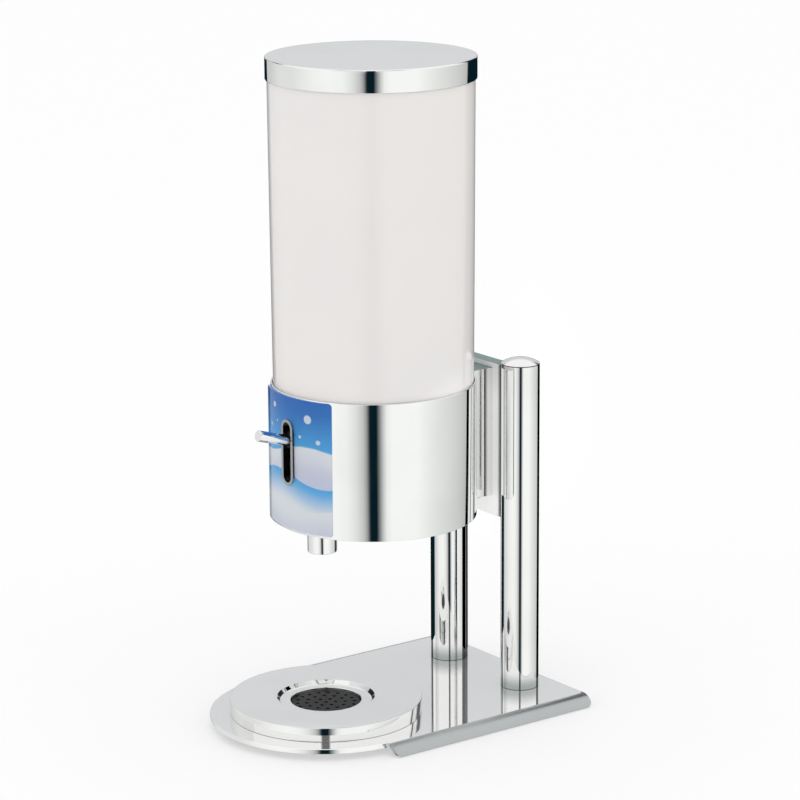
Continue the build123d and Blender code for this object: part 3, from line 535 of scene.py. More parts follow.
def noise(tree, scale, detail=2):
    """Noise that stays with the piece."""
    place = tree.nodes.new("ShaderNodeTexCoord")
    node = tree.nodes.new("ShaderNodeTexNoise")
    set_values(node, {"Scale": scale, "Detail": detail})
    tree.links.new(place.outputs["Object"], node.inputs["Vector"])
    return node.outputs["Fac"]


def add_bump(tree, shader, height, strength, distance):
    bump = tree.nodes.new("ShaderNodeBump")
    set_values(bump, {"Strength": strength, "Distance": distance})
    tree.links.new(height, bump.inputs["Height"])
    tree.links.new(bump.outputs["Normal"], shader.inputs["Normal"])


def new_group(name, inputs, outputs):
    """A shader node group with float sockets: inputs maps names to defaults."""
    group = bpy.data.node_groups.new(name, "ShaderNodeTree")
    add_socket = group.interface.new_socket
    for socket_name, value in inputs.items():
        socket = add_socket(name=socket_name, in_out="INPUT", socket_type="NodeSocketFloat")
        socket.default_value = value
    for socket_name in outputs:
        add_socket(name=socket_name, in_out="OUTPUT", socket_type="NodeSocketFloat")
    entry = group.nodes.new("NodeGroupInput")
    leave = group.nodes.new("NodeGroupOutput")
    return group, entry.outputs, leave.inputs


def handling_marks_group():
    """Faint wipe marks and fine scratches that polished sheet picks up in use."""
    group, given, result = new_group(
        "handling_marks",
        {"Patch Scale": WIPE_SCALE, "Scratch Scale": SCRATCH_SCALE},
        ("Mask", "Height"),
    )
    place = group.nodes.new("ShaderNodeTexCoord").outputs["Object"]
    patches = group.nodes.new("ShaderNodeTexNoise")
    patches.inputs["Detail"].default_value = 4
    group.links.new(place, patches.inputs["Vector"])
    group.links.new(given["Patch Scale"], patches.inputs["Scale"])
    stretch = group.nodes.new("ShaderNodeMapping")
    set_values(stretch, {"Scale": (1, 0.04, 0.3), "Rotation": (0.3, 0.2, 0.6)})
    group.links.new(place, stretch.inputs["Vector"])
    scratches = group.nodes.new("ShaderNodeTexNoise")
    scratches.inputs["Detail"].default_value = 2
    group.links.new(stretch.outputs["Vector"], scratches.inputs["Vector"])
    group.links.new(given["Scratch Scale"], scratches.inputs["Scale"])
    soft = ease(group, patches.outputs["Fac"], 0.42, 0.72)
    thin = ease(group, scratches.outputs["Fac"], 0.66, 0.74)
    group.links.new(calc(group, "MULTIPLY_ADD", thin, 0.35, soft), result["Mask"])
    group.links.new(thin, result["Height"])
    return group


def machined_grain_group():
    """Fine tool lines along one direction, for satin steel."""
    group, given, result = new_group(
        "machined_grain", {"Lines": 2600.0, "Stretch": 0.03}, ("Mask", "Height")
    )
    parts = object_place(group)
    along = calc(group, "MULTIPLY", parts["Y"], given["Stretch"])
    joined = group.nodes.new("ShaderNodeCombineXYZ")
    group.links.new(parts["X"], joined.inputs["X"])
    group.links.new(along, joined.inputs["Y"])
    group.links.new(parts["Z"], joined.inputs["Z"])
    lines = group.nodes.new("ShaderNodeTexNoise")
    lines.inputs["Detail"].default_value = 3
    group.links.new(joined.outputs["Vector"], lines.inputs["Vector"])
    group.links.new(given["Lines"], lines.inputs["Scale"])
    group.links.new(lines.outputs["Fac"], result["Height"])
    group.links.new(ease(group, lines.outputs["Fac"], 0.3, 0.7), result["Mask"])
    return group


def place_group(tree, name, maker, values):
    """Puts a shared node group into a material with its own values."""
    node = tree.nodes.new("ShaderNodeGroup")
    node.node_tree = bpy.data.node_groups.get(name) or maker()
    set_values(node, values)
    return node.outputs


def new_material(name):
    material = bpy.data.materials.new(name)
    material.use_nodes = True
    return material, material.node_tree, material.node_tree.nodes["Principled BSDF"]


# Finishes by name. They aren't looked up in Blender, where the frame's plain materials are too.
FINISHES = {}


def shared(name, maker):
    """The finish of that name, made on first use."""
    if name not in FINISHES:
        FINISHES[name] = maker(name)
    return FINISHES[name]


def top_film(tree, shader, share):
    """A thin haze of dried wipes on faces that look up."""
    facing = tree.nodes.new("ShaderNodeTexCoord")
    parts = tree.nodes.new("ShaderNodeSeparateXYZ")
    tree.links.new(facing.outputs["Normal"], parts.inputs[0])
    up = ease(tree, parts.outputs["Z"], 0.90, 0.99)
    tree.links.new(spread(tree, up, 1.0, 1.0 - share), shader.inputs["Metallic"])


def wiped_polish(tree, wipe_scale):
    """Mask of the wipe marks in a polish."""
    values = {"Patch Scale": wipe_scale, "Scratch Scale": SCRATCH_SCALE}
    return place_group(tree, "handling_marks", handling_marks_group, values)["Mask"]


def mirror_steel(name, film=0.0, contact_shade_top=None, joints=(), shaded_foot=None):
    """Mirror-polished steel: clear reflections, with faint wipe marks in its gloss.

    film is the haze on faces that look up. Heights are contact_shade_top for the top of a dark
    line of painted contact shadow at the piece's foot, where it sits on the part below, joints for
    dark joint lines, and shaded_foot for a column's dimmer foot.
    """
    settings = finish_settings()
    material, tree, shader = new_material(name)
    shader.inputs["Metallic"].default_value = 1
    mask = wiped_polish(tree, WIPE_SCALE)
    base = tuple(settings.steel_colour)
    colour = blend_colours(tree, mask, base, tuple(part * 0.96 for part in base))
    up = object_place(tree)["Z"]
    if contact_shade_top:
        # Painted contact shadow: the colour turns dark in a thin line along the piece's foot,
        # where it sits on the part below.
        unshaded = ease(tree, up, contact_shade_top - 0.5 * MM, contact_shade_top)
        colour = blend_colours(tree, unshaded, tuple(part * 0.25 for part in base), colour)
    if shaded_foot:
        bright = ease(tree, up, shaded_foot + 2 * MM, shaded_foot + 16 * MM)
        colour = blend_colours(tree, bright, (0.40, 0.44, 0.43), colour)
    for joint_z in joints:
        off = calc(tree, "ABSOLUTE", calc(tree, "SUBTRACT", up, joint_z))
        clear = ease(tree, off, 0.2 * MM, 0.5 * MM)
        colour = blend_colours(tree, clear, (0.06, 0.06, 0.06), colour)
    tree.links.new(colour, shader.inputs["Base Color"])
    if film:
        top_film(tree, shader, film)
    low = settings.steel_roughness
    tree.links.new(spread(tree, mask, low, low + POLISH_SPREAD), shader.inputs["Roughness"])
    return material


def satin_steel(name, roughness=0.30, lines=2600.0, darker=1.0):
    """Machined or brushed steel with fine tool lines."""
    settings = finish_settings()
    material, tree, shader = new_material(name)
    shader.inputs["Metallic"].default_value = 1
    values = {"Lines": lines, "Stretch": 0.03}
    grain = place_group(tree, "machined_grain", machined_grain_group, values)
    base = tuple(part * darker for part in settings.satin_colour)
    light = tuple(min(1, part * 1.12) for part in base)
    tree.links.new(blend_colours(tree, grain["Mask"], base, light), shader.inputs["Base Color"])
    tree.links.new(
        spread(tree, grain["Mask"], roughness - 0.05, roughness + 0.06), shader.inputs["Roughness"]
    )
    add_bump(tree, shader, grain["Height"], 0.15, 0.05 * MM)
    return material


def milky_plastic(name):
    """Glossy, slightly translucent white plastic."""
    settings = finish_settings()
    material, tree, shader = new_material(name)
    clouds = noise(tree, 9, detail=3)
    base = tuple(settings.milky_colour)
    cooler = (base[0] * 0.975, base[1] * 0.985, base[2])
    mask = ease(tree, clouds, 0.35, 0.65)
    tree.links.new(blend_colours(tree, mask, base, cooler), shader.inputs["Base Color"])
    tree.links.new(spread(tree, clouds, 0.07, 0.13), shader.inputs["Roughness"])
    set_values(
        shader,
        {
            "Subsurface Weight": 0.35,
            "Subsurface Scale": 4 * MM,
            "Subsurface Radius": (1.0, 0.95, 0.9),
            "IOR": 1.49,
        },
    )
    return material


def clear_plastic(name):
    """Polished clear acrylic. Its low IOR keeps the veil over the picture thin."""
    material, tree, shader = new_material(name)
    set_values(
        shader, {"Base Color": (0.97, 0.985, 0.99, 1), "Transmission Weight": 1, "IOR": 1.25}
    )
    tree.links.new(spread(tree, noise(tree, 60), 0.0, 0.03), shader.inputs["Roughness"])
    return material


def front_picture(name):
    """Printed card: pale rolling hills under a blue sky, with round flakes above them."""
    settings = finish_settings()
    material, tree, shader = new_material(name)
    blue, sky = tuple(settings.picture_blue), tuple(settings.picture_sky)
    pale, violet = tuple(settings.picture_pale), tuple(settings.picture_violet)
    parts = object_place(tree)
    half_width = (PANEL_HIGH.x - PANEL_LOW.x) / 2
    height = PANEL_HIGH.z - PANEL_LOW.z
    across = calc(tree, "DIVIDE", parts["X"], half_width)
    up = calc(tree, "DIVIDE", calc(tree, "SUBTRACT", parts["Z"], PANEL_LOW.z), height)
    grain = noise(tree, 45, detail=4)
    ripple = calc(tree, "SUBTRACT", grain, 0.5)
    colour = blend_colours(tree, ease(tree, up, 0.55, 1.0), sky, blue)
    for hill, (crest, trough) in zip(HILLS, ((pale, violet), (sky, pale), (pale, violet))):
        turn = calc(tree, "MULTIPLY_ADD", across, hill["turns"], hill["start"])
        line = calc(tree, "MULTIPLY_ADD", calc(tree, "SINE", turn), hill["swing"], hill["height"])
        line = calc(tree, "MULTIPLY_ADD", ripple, hill["fine"] * 2, line)
        depth = calc(tree, "SUBTRACT", line, up)
        shade = blend_colours(tree, ease(tree, depth, 0.0, 0.24), crest, trough)
        colour = blend_colours(tree, ease(tree, depth, 0.0, 0.012), colour, shade)
    aspect = half_width / height
    for flake_across, flake_up, size in FLAKES:
        side = calc(tree, "MULTIPLY", calc(tree, "SUBTRACT", across, flake_across), aspect)
        rise = calc(tree, "SUBTRACT", up, flake_up)
        squares = [calc(tree, "MULTIPLY", leg, leg) for leg in (side, rise)]
        reach = calc(tree, "SQRT", calc(tree, "ADD", *squares))
        body = fade(tree, reach, size * 0.42, size * 0.5)
        colour = blend_colours(tree, calc(tree, "MULTIPLY", body, 0.9), colour, pale)
    tree.links.new(colour, shader.inputs["Base Color"])
    tree.links.new(spread(tree, grain, 0.32, 0.45), shader.inputs["Roughness"])
    return material


def soft_rubber(name, colour, roughness, sheen=0.5):
    """Moulded rubber or silicone with a fine grain."""
    material, tree, shader = new_material(name)
    grain = noise(tree, 1800)
    shader.inputs["Specular IOR Level"].default_value = sheen
    lighter = tuple(min(1, part * 1.25 + 0.005) for part in colour)
    tree.links.new(blend_colours(tree, grain, colour, lighter), shader.inputs["Base Color"])
    rough = spread(tree, grain, roughness, roughness + 0.15)
    tree.links.new(rough, shader.inputs["Roughness"])
    add_bump(tree, shader, grain, 0.2, 0.05 * MM)
    return material


def polished(name):
    return shared(name, mirror_steel)


def silicone():
    return shared("pale_silicone", lambda name: soft_rubber(name, (0.72, 0.72, 0.70), 0.45))


# Pieces


class DISPENSER_OT_drum(bpy.types.Operator):
    """Turn the polished drum, with its window for the lever"""

    bl_idname = "dispenser.drum"
    bl_label = "Drum"

    def execute(self, context):
        rounding = mesh_settings().edge_rounding
        bore = DRUM_RADIUS - DRUM_WALL
        outline = rounded(
            [
                (bore, DRUM_LOW.z),
                (DRUM_RADIUS, DRUM_LOW.z),
                (DRUM_RADIUS, DRUM_HIGH.z),
                (bore, DRUM_HIGH.z),
            ],
            dict.fromkeys(range(4), rounding),
        )
        drum = lathe("drum_shell", outline, (0, DRUM_Y))
        window = cutter(lever_window(), -DRUM_RADIUS * 1.2, -DRUM_RADIUS * 0.8)
        cut(drum, window, "DIFFERENCE")
        seat_piece(drum, "frame", "drum_steel", polished("drum_mirror"), "housing_drum")
        dress(polished("drum_mirror"), "housing_floor")
        return {"FINISHED"}


def curved_sheet(name, inner, outer, low, high):
    """A sheet bent round the drum, with rounded corners and the lever's window."""
    section = [(inner, low.z), (outer, low.z), (outer, high.z), (inner, high.z)]
    sheet = lathe(name, section, (0, DRUM_Y), SHEET_STEPS)
    corners = [(low.x, low.z), (high.x, low.z), (high.x, high.z), (low.x, high.z)]
    outline = rounded(corners, dict.fromkeys(range(4), PANEL_CORNER), steps=10)
    front, back = -DRUM_RADIUS * 1.2, -DRUM_RADIUS * 0.7
    cut(sheet, cutter(outline, front, back), "INTERSECT")
    cut(sheet, cutter(lever_window(), front, back), "DIFFERENCE")
    return sheet


class DISPENSER_OT_front(bpy.types.Operator):
    """Make the clear front panel, the printed card behind it and the slot's bezel"""

    bl_idname = "dispenser.front"
    bl_label = "Front panel"

    def execute(self, context):
        bore = DRUM_RADIUS + PANEL_BORE_GAP
        panel = curved_sheet("clear_front", bore, bore + PANEL_THICKNESS, PANEL_LOW, PANEL_HIGH)
        soften_edges(panel, 0.25 * MM)
        acrylic = shared("clear_acrylic", clear_plastic)
        seat_piece(panel, "frame", "clear_plastic", acrylic, "front_panel")
        card_low, card_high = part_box("picture_card")
        card = curved_sheet(
            "picture", DRUM_RADIUS, DRUM_RADIUS + CARD_THICKNESS, card_low, card_high
        )
        picture = shared("front_picture", front_picture)
        seat_piece(card, "frame", "printed_card", picture, "picture_card")
        bezel = cutter(lever_window(32), BEZEL_LOW.y, BEZEL_HIGH.y)
        bezel.name = "slot_frame"
        narrow, short = SLOT_WIDTH - 2 * BEZEL_WALL, SLOT_HEIGHT - 2 * BEZEL_WALL
        opening = slot_outline(narrow, short, SLOT_Z, 32)
        through = cutter(opening, BEZEL_LOW.y - BEZEL_WALL, BEZEL_HIGH.y + BEZEL_WALL)
        cut(bezel, through, "DIFFERENCE")
        soften_edges(bezel, 0.3 * MM)
        seat_piece(bezel, "frame", "trim_steel", shared("bezel_satin", bezel_steel), "slot_bezel")
        return {"FINISHED"}


def bezel_steel(name):
    return satin_steel(name, roughness=0.20, lines=1500.0, darker=0.66)


class DISPENSER_OT_container(bpy.types.Operator):
    """Turn the milky container with its sloping floor and neck"""

    bl_idname = "dispenser.container"
    bl_label = "Container"

    def execute(self, context):
        foot_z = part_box("seat_gasket")[1].z
        draft = 1.58 * MM
        low_radius = CONTAINER_RADIUS - draft
        foot_bore = 74 * MM
        cone_top = foot_z + 2.5 * MM
        cone_bottom = cone_top - 9.4 * MM
        neck_radius = 12.5 * MM
        neck_bore = 8.5 * MM
        outline = [
            (neck_bore, CONTAINER_LOW.z),
            (neck_radius, CONTAINER_LOW.z),
            (neck_radius, cone_bottom),
            (foot_bore, cone_top),
            (foot_bore, foot_z),
            (low_radius, foot_z),
            (CONTAINER_RADIUS, CONTAINER_HIGH.z),
            (CONTAINER_RADIUS - CONTAINER_WALL, CONTAINER_HIGH.z),
            (low_radius - CONTAINER_WALL, cone_top + CONTAINER_WALL),
            (neck_bore, cone_bottom + CONTAINER_WALL),
        ]
        outline = rounded(outline, {1: 1 * MM, 5: 1.6 * MM, 6: 0.8 * MM, 7: 0.8 * MM, 8: 2 * MM})
        container = lathe("container_body", outline, (0, DRUM_Y))
        plastic = shared("milky_shell", milky_plastic)
        seat_piece(container, "container", "milky_plastic", plastic, "container")
        dress(plastic, "lid_liner")
        dress(silicone(), "outlet_oring", "lid_seal", "seat_gasket")
        return {"FINISHED"}


class DISPENSER_OT_lid(bpy.types.Operator):
    """Turn the spun lid, a shallow cap with a rounded shoulder"""

    bl_idname = "dispenser.lid"
    bl_label = "Lid"

    def execute(self, context):
        roof = 1.2 * MM
        skirt = 1.1 * MM
        outline = [
            (0, LID_HIGH.z),
            (LID_RADIUS, LID_HIGH.z),
            (LID_RADIUS, LID_LOW.z),
            (LID_RADIUS - skirt, LID_LOW.z),
            (LID_RADIUS - skirt, LID_HIGH.z - roof),
            (0, LID_HIGH.z - roof),
        ]
        outline = rounded(outline, {1: 1.2 * MM, 2: 0.4 * MM, 3: 0.4 * MM}, 6)
        lid = lathe("lid_cap", outline, (0, DRUM_Y), closed=False)
        steel = shared("lid_mirror", lambda name: mirror_steel(name, film=TOP_HAZE))
        seat_piece(lid, "lid", "lid_steel", steel, "lid")
        return {"FINISHED"}


class DISPENSER_OT_columns(bpy.types.Operator):
    """Turn the two columns with their domed caps, and finish the plate and saddle block"""

    bl_idname = "dispenser.columns"
    bl_label = "Columns"

    def execute(self, context):
        foot, top = (corner.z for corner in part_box("column_left"))
        steel = shared(
            "column_mirror",
            lambda name: mirror_steel(name, joints=(foot, top), shaded_foot=foot),
        )
        for side in ("left", "right"):
            low, high, middle_y, radius = round_box(f"column_{side}")
            cap_low, cap_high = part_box(f"column_cap_{side}")
            centre = ((low.x + high.x) / 2, middle_y)
            bore = radius - TUBE_WALL
            tube = rounded(
                [(bore, low.z), (radius, low.z), (radius, high.z), (bore, high.z)], {2: 0.3 * MM}
            )
            piece = lathe(f"column_tube_{side}", tube, centre, TUBE_STEPS)
            seat_piece(piece, "frame", "column_steel", steel, f"column_{side}")
            shoulder = 0.3 * MM
            rise = cap_high.z - high.z - shoulder
            sphere = (radius**2 + rise**2) / (2 * rise)
            angles = [asin(radius / sphere) * step / DOME_STEPS for step in range(DOME_STEPS + 1)]
            dome = [
                (sphere * sin(angle), cap_high.z - sphere * (1 - cos(angle))) for angle in angles
            ]
            dome += [(radius - shoulder, high.z), (bore, high.z), (bore, cap_low.z)]
            dome.append((0, cap_low.z))
            cap = lathe(f"column_dome_{side}", dome, centre, TUBE_STEPS, closed=False)
            seat_piece(cap, "frame", "column_steel", steel, f"column_cap_{side}")
        dress(shared("plate_satin", plate_steel), "mount_plate")
        dress(shared("block_polish", block_steel), "housing_bracket")
        return {"FINISHED"}


def sawn_steel(name, top_z, roughness, colour, metallic=1.0, corner_shade_x=None):
    """Ground steel. Its sawn top edge is dull and dark, and painted shade darkens its face to near
    black where it meets a column.
    """
    material, tree, shader = new_material(name)
    shader.inputs["Metallic"].default_value = metallic
    values = {"Lines": 1800.0, "Stretch": 0.05}
    grain = place_group(tree, "machined_grain", machined_grain_group, values)
    parts = object_place(tree)
    sawn = ease(tree, parts["Z"], top_z - 0.5 * MM, top_z - 0.3 * MM)
    side = blend_colours(tree, grain["Mask"], colour, tuple(part * 0.95 for part in colour))
    if corner_shade_x:
        # Painted shade: the face darkens to near black over the last 5 mm before a column.
        corner_shade = ease(tree, calc(tree, "ABSOLUTE", parts["X"]), corner_shade_x - 5 * MM, corner_shade_x)
        side = blend_colours(tree, corner_shade, side, (0.004, 0.004, 0.005))
    colour = blend_colours(tree, sawn, side, (0.22, 0.30, 0.31))
    tree.links.new(colour, shader.inputs["Base Color"])
    smooth = spread(tree, grain["Mask"], roughness, roughness + 0.03)
    tree.links.new(calc(tree, "MULTIPLY_ADD", sawn, 0.30, smooth), shader.inputs["Roughness"])
    return material


def plate_steel(name):
    top_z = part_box("mount_plate")[1].z
    # Where the plate meets a column. Painted shade darkens the plate towards this line.
    corner_shade_x = 36.5 * MM
    return sawn_steel(name, top_z, 0.28, (0.93, 0.93, 0.92), metallic=0.1, corner_shade_x=corner_shade_x)


def block_steel(name):
    return sawn_steel(name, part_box("housing_bracket")[1].z, 0.04, (0.90, 0.90, 0.89))


class DISPENSER_OT_spout(bpy.types.Operator):
    """Turn the spout"""

    bl_idname = "dispenser.spout"
    bl_label = "Spout"

    def execute(self, context):
        neck = 9 * MM
        mouth = 8.5 * MM
        seat = 6.5 * MM
        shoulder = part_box("housing_floor")[0].z
        outline = [
            (mouth, SPOUT_LOW.z),
            (SPOUT_RADIUS, SPOUT_LOW.z),
            (SPOUT_RADIUS, shoulder),
            (neck, shoulder),
            (neck, SPOUT_HIGH.z),
            (seat, SPOUT_HIGH.z),
            (seat, shoulder + 2 * MM),
            (mouth, shoulder - 2 * MM),
        ]
        outline = rounded(outline, {0: 0.4 * MM, 1: 0.8 * MM})
        spout = lathe("spout_tube", outline, (0, SPOUT_Y), TUBE_STEPS)
        seat_piece(spout, "frame", "trim_steel", polished("trim_mirror"), "spout")
        return {"FINISHED"}


class DISPENSER_OT_lever(bpy.types.Operator):
    """Turn the lever's rod with its flat polished end"""

    bl_idname = "dispenser.lever"
    bl_label = "Lever"

    def execute(self, context):
        hinge = next(joint for joint in frame["joints"] if joint["name"] == "lever_hinge")
        pivot = Vector(hinge["pos_m"])
        tilt = radians(16.5)
        radius = 4.5 * MM
        thread = 3 * MM
        root, boss, tip = 8.2 * MM, 16 * MM, 54.5 * MM
        outline = [(0, root), (thread, root), (thread, boss)]
        outline += [(radius, boss), (radius, tip), (0, tip)]
        outline = rounded(outline, {4: 0.6 * MM})
        rod = lathe("lever_handle", outline, (0, 0), ROD_STEPS, closed=False)
        along = Vector((0, -cos(tilt), sin(tilt)))
        turn = along.to_track_quat("Z", "X").to_matrix().to_4x4()
        rod.data.transform(Matrix.Translation(pivot) @ turn)
        seat_piece(rod, "lever", "trim_steel", polished("trim_mirror"), "lever_rod")
        satin = shared("tap_satin", satin_steel)
        dress(satin, "lever_hub")
        bush = shared("pale_bush", lambda name: soft_rubber(name, (0.74, 0.72, 0.66), 0.35))
        dress(bush, "lever_bush")
        return {"FINISHED"}


class DISPENSER_OT_tray(bpy.types.Operator):
    """Turn the tray's cover with its stepped recess, and finish the pan and the mat"""

    bl_idname = "dispenser.tray"
    bl_label = "Drip tray"

    def execute(self, context):
        wall = 1.2 * MM
        recess = 40.4 * MM
        recess_floor = COVER_HIGH.z - 3 * MM
        recess_low = 37.8 * MM
        well = 29.2 * MM
        lip = 25.5 * MM
        lip_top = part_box("well_mat")[0].z
        outline = [
            (COVER_RADIUS, COVER_LOW.z),
            (COVER_RADIUS, COVER_HIGH.z),
            (recess, COVER_HIGH.z),
            (recess_low, recess_floor),
            (well, recess_floor),
            (well, lip_top),
            (lip, lip_top),
            (lip, lip_top - wall),
            (well + wall, lip_top - wall),
            (well + wall, recess_floor - wall),
            (recess_low + wall, recess_floor - wall),
            (recess + wall, COVER_HIGH.z - wall),
            (COVER_RADIUS - wall, COVER_HIGH.z - wall),
            (COVER_RADIUS - wall, COVER_LOW.z),
        ]
        edges = {0: 0.3, 1: 0.6, 2: 0.7, 3: 0.7, 4: 0.5, 6: 0.4}
        outline = rounded(outline, {corner: size * MM for corner, size in edges.items()})
        cover = lathe("tray_top", outline, (0, TRAY_Y))
        # A thin line of painted contact shadow where the cover sits on the base.
        contact_shade_top = COVER_LOW.z + 0.5 * MM
        steel = shared(
            "tray_mirror", lambda name: mirror_steel(name, film=TOP_HAZE, contact_shade_top=contact_shade_top)
        )
        seat_piece(cover, "cover", "tray_steel", steel, "tray_cover")
        dress(polished("pan_mirror"), "drip_pan")
        mat = shared("mat_rubber", lambda name: soft_rubber(name, (0.006, 0.006, 0.007), 0.4, 0.2))
        dress(mat, "well_mat")
        return {"FINISHED"}


class DISPENSER_OT_base(bpy.types.Operator):
    """Finish the bent base plate and its feet"""

    bl_idname = "dispenser.base"
    bl_label = "Base"

    def execute(self, context):
        dress(shared("base_polish", base_steel), "base_plate")
        feet = shared("black_rubber", lambda name: soft_rubber(name, (0.025, 0.025, 0.025), 0.6))
        dress(feet, "rubber_feet")
        return {"FINISHED"}


def base_steel(name):
    """Polished on top; the bent sides are left satin, as bending dulls them."""
    settings = finish_settings()
    material, tree, shader = new_material(name)
    shader.inputs["Metallic"].default_value = 1
    mask = wiped_polish(tree, BASE_WIPE_SCALE)
    flat_half, bent_half = 97.0 * MM, 98.5 * MM
    bent = ease(tree, calc(tree, "ABSOLUTE", object_place(tree)["X"]), flat_half, bent_half)
    colour = blend_colours(tree, bent, tuple(settings.steel_colour), (0.50, 0.525, 0.525))
    tree.links.new(colour, shader.inputs["Base Color"])
    low = settings.steel_roughness
    gloss = spread(tree, mask, low, low + POLISH_SPREAD)
    rough = calc(tree, "MULTIPLY_ADD", bent, 0.30, gloss)
    tree.links.new(rough, shader.inputs["Roughness"])
    top_film(tree, shader, TOP_HAZE)
    return material


class DISPENSER_OT_tap(bpy.types.Operator):
    """Finish the tap and the small parts inside"""

    bl_idname = "dispenser.tap"
    bl_label = "Tap"

    def execute(self, context):
        satin = shared("tap_satin", satin_steel)
        screw = shared("screw_satin", lambda name: satin_steel(name, 0.24, 3400.0))
        dress(satin, "tap_body", "inlet_elbow", "inlet_nut", "bonnet", "valve_stem")
        dress(satin, "seat_ring", "bezel_ring", "base_stiffener", "column_foot_plugs")
        dress(screw, "base_bolts", "bracket_screws", "housing_screws", "floor_screws")
        dress(screw, "pivot_pin", "pivot_clip", "stem_pin", "return_spring")
        dress(silicone(), "valve_plug", "stem_seal", "bonnet_seal")
        return {"FINISHED"}


# Studio


def camera_axes(settings):
    """Right, up and back of the camera, roll included."""
    ahead = (Vector(settings.camera_target) - Vector(settings.camera_place)).normalized()
    right = ahead.cross(Vector((0, 0, 1))).normalized()
    up = right.cross(ahead)
    roll = settings.camera_roll
    return right * cos(roll) + up * sin(roll), up * cos(roll) - right * sin(roll), -ahead


def wall_colour(tree, turned):
    """The studio's wall that polished steel sees at that turn from the camera."""
    share = calc(tree, "MULTIPLY_ADD", turned, 1 / (2 * pi), 0.5)
    walls = tree.nodes.new("ShaderNodeValToRGB")
    walls.color_ramp.interpolation = "LINEAR"
    stops = walls.color_ramp.elements
    for index, (degrees_right, grey) in enumerate(STUDIO_WALL):
        stop = stops[index] if index < 2 else stops.new(1.0)
        stop.position = (degrees_right + 180) / 360
        cool = 0.010 * (1 - grey)
        stop.color = (grey * 0.985, grey + cool, grey * 0.985 + 1.6 * cool, 1)
    tree.links.new(share, walls.inputs["Fac"])
    return walls.outputs["Color"]


def upper_colour(tree, turned, up):
    """What polished steel sees above the walls: a pale roof, dark sides, a slit and a beam."""
    aside = calc(tree, "ABSOLUTE", turned)
    beside = ease(tree, aside, *map(radians, DARK_SIDES))
    behind = ease(tree, aside, *map(radians, GREY_BACK))
    colour = blend_colours(tree, beside, WHITE_SIDE, NEAR_BLACK)
    colour = blend_colours(tree, behind, colour, GREY_SIDE)
    colour = blend_colours(tree, ease(tree, up, *ROOF), colour, WHITE_ROOF)
    slit = fade(tree, aside, *map(radians, SLIT))
    front = fade(tree, aside, *map(radians, BEAM_ENDS))
    below_head = fade(tree, up, *BEAM_HEAD)
    within = calc(tree, "MULTIPLY", ease(tree, up, *BEAM_FOOT), below_head)
    beam = calc(tree, "MULTIPLY", front, within)
    dark = calc(tree, "MAXIMUM", beam, calc(tree, "MULTIPLY", slit, below_head))
    return blend_colours(tree, dark, colour, NEAR_BLACK)


def studio_world(settings):
    """White all round. Polished steel sees the studio's walls and their dark gaps instead."""
    world = bpy.data.worlds.new("white_studio")
    world.use_nodes = True
    tree = world.node_tree
    background = tree.nodes["Background"]
    background.inputs["Strength"].default_value = settings.wall_strength
    parts = tree.nodes.new("ShaderNodeSeparateXYZ")
    direction = tree.nodes.new("ShaderNodeTexCoord").outputs["Generated"]
    tree.links.new(direction, parts.inputs[0])
    up = parts.outputs["Z"]
    bearing = calc(tree, "ARCTAN2", parts.outputs["Y"], parts.outputs["X"])
    camera_bearing = Vector((1, 0)).angle_signed(Vector(settings.camera_place[:2]))
    turned = calc(tree, "WRAP", calc(tree, "ADD", bearing, camera_bearing), pi, -pi)
    above = upper_colour(tree, turned, up)
    seen = blend_colours(tree, ease(tree, up, *WALL_TOP), wall_colour(tree, turned), above)
    path = tree.nodes.new("ShaderNodeLightPath")
    colour = blend_colours(tree, path.outputs["Is Glossy Ray"], (1, 1, 1), seen)
    tree.links.new(colour, background.inputs["Color"])
    bpy.context.scene.world = world


def studio_floor():
    """A wide pale floor that polished steel doesn't see."""
    shape = bmesh.new()
    corners = ((-1, -1), (1, -1), (1, 1), (-1, 1))
    shape.faces.new([shape.verts.new((x * FLOOR_REACH, y * FLOOR_REACH, 0)) for x, y in corners])
    floor = mesh_object("studio_floor", shape)
    material, tree, shader = new_material("studio_floor")
    set_values(
        shader,
        {
            "Base Color": (0.60, 0.60, 0.60, 1),
            "Emission Color": (1, 1, 1, 1),
            "Emission Strength": 0.385,
            "Roughness": 0.9,
            "Specular IOR Level": 0,
        },
    )
    floor.data.materials.append(material)
    floor.visible_glossy = False


def glossy_card(name, low, high):
    """An upright card that only polished steel sees. Returns what its finish is made with."""
    shape = bmesh.new()
    ends = ((low, low), (high, low), (high, high), (low, high))
    shape.faces.new([shape.verts.new((side[0], side[1], level[2])) for side, level in ends])
    card = mesh_object(name, shape)
    material, tree, shader = new_material(name)
    set_values(shader, {"Base Color": (0, 0, 0, 1), "Roughness": 1, "Specular IOR Level": 0})
    card.data.materials.append(material)
    for ray in ("camera", "diffuse", "transmission", "volume_scatter", "shadow"):
        setattr(card, f"visible_{ray}", False)
    return tree, shader


def studio_cards():
    """The white card at the left, darker towards its far end, and the black card behind."""
    tree, shader = glossy_card("side_card", *SIDE_CARD)
    along = ease(tree, object_place(tree)["Y"], *SIDE_CARD_SHADE)
    colour = blend_colours(tree, along, (0.79, 0.80, 0.79), (0.60, 0.61, 0.61))
    tree.links.new(colour, shader.inputs["Emission Color"])
    shader.inputs["Emission Strength"].default_value = 1
    glossy_card("rear_card", *REAR_CARD)


def place_light(lamp, place, target):
    """Hangs a lamp where it belongs, turned to its target and unseen by polished steel."""
    light = bpy.data.objects.new(lamp.name, lamp)
    bpy.context.scene.collection.objects.link(light)
    light.location = place
    light.rotation_mode = "QUATERNION"
    light.rotation_quaternion = (Vector(target) - Vector(place)).to_track_quat("-Z", "Y")
    light.visible_glossy = False


def soft_light(name, place, power):
    """A wide round lamp for the whole piece."""
    lamp = bpy.data.lights.new(name, "AREA")
    lamp.shape = "DISK"
    lamp.size = SOFT_LIGHT_SIZE
    lamp.energy = power
    place_light(lamp, place, MIDDLE)


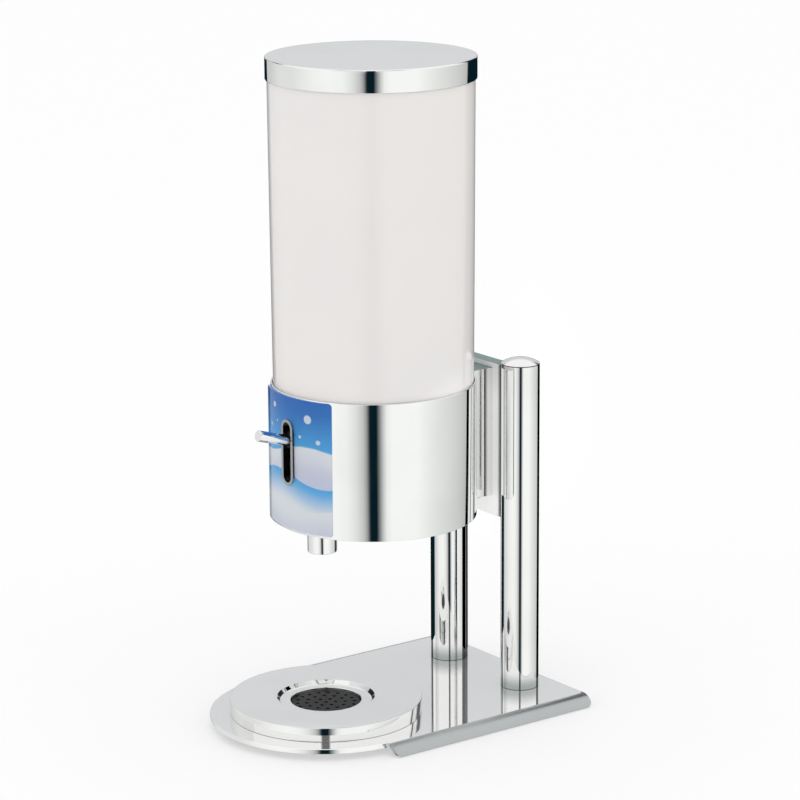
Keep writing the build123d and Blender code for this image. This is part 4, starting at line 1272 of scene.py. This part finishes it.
def plate_light():
    """A narrow light that reaches the satin plate between the drum and a column."""
    lamp = bpy.data.lights.new("plate_light", "SPOT")
    lamp.energy = 55
    lamp.spot_size = radians(6.5)
    lamp.spot_blend = 0.6
    lamp.shadow_soft_size = 0.02
    place_light(lamp, PLATE_LIGHT_PLACE, PLATE_LIGHT_TARGET)


class DISPENSER_OT_studio(bpy.types.Operator):
    """Set up the camera, the white studio, its soft lights and the floor"""

    bl_idname = "dispenser.studio"
    bl_label = "Studio"

    def execute(self, context):
        settings = studio_settings()
        lens = bpy.data.cameras.new("camera")
        lens.lens = settings.lens
        lens.shift_x = settings.shift
        lens.clip_end = 50
        camera = bpy.data.objects.new("camera", lens)
        right, up, back = camera_axes(settings)
        turn = Matrix((right, up, back)).transposed().to_4x4()
        camera.matrix_world = Matrix.Translation(Vector(settings.camera_place)) @ turn
        context.scene.collection.objects.link(camera)
        context.scene.camera = camera
        studio_world(settings)
        studio_floor()
        studio_cards()
        soft_light("key_light", KEY_PLACE, settings.key_power)
        soft_light("fill_light", FILL_PLACE, settings.key_power * FILL_SHARE)
        plate_light()
        context.scene.view_settings.view_transform = "Standard"
        return {"FINISHED"}


class DISPENSER_PT_panel(bpy.types.Panel):
    """The dispenser's pieces and settings"""

    bl_label = "Dispenser"
    bl_space_type = "VIEW_3D"
    bl_region_type = "UI"
    bl_category = "Dispenser"

    def draw(self, context):
        column = self.layout.column(align=True)
        for operator in PIECE_OPERATORS:
            column.operator(operator.bl_idname)
        column.operator(DISPENSER_OT_studio.bl_idname)
        for group in (finish_settings(), mesh_settings(), studio_settings()):
            box = self.layout.box()
            for name in group.__annotations__:
                box.prop(group, name)


PIECE_OPERATORS = (
    DISPENSER_OT_drum,
    DISPENSER_OT_front,
    DISPENSER_OT_container,
    DISPENSER_OT_lid,
    DISPENSER_OT_columns,
    DISPENSER_OT_spout,
    DISPENSER_OT_lever,
    DISPENSER_OT_tray,
    DISPENSER_OT_base,
    DISPENSER_OT_tap,
)
SETTINGS = (
    ("dispenser_finish", DispenserFinish),
    ("dispenser_mesh", DispenserMesh),
    ("dispenser_studio", DispenserStudio),
)
CLASSES = (
    *(group for name, group in SETTINGS),
    *PIECE_OPERATORS,
    DISPENSER_OT_studio,
    DISPENSER_PT_panel,
)


def register():
    for item in CLASSES:
        bpy.utils.register_class(item)
    for name, group in SETTINGS:
        setattr(bpy.types.Scene, name, PointerProperty(type=group))


def unregister():
    for name, group in SETTINGS:
        delattr(bpy.types.Scene, name)
    for item in reversed(CLASSES):
        bpy.utils.unregister_class(item)


def main():
    """Makes every piece and the studio."""
    register()
    for operator in (*PIECE_OPERATORS, DISPENSER_OT_studio):
        group_name, call_name = operator.bl_idname.split(".")
        getattr(getattr(bpy.ops, group_name), call_name)()


if __name__ == "__main__":
    main()
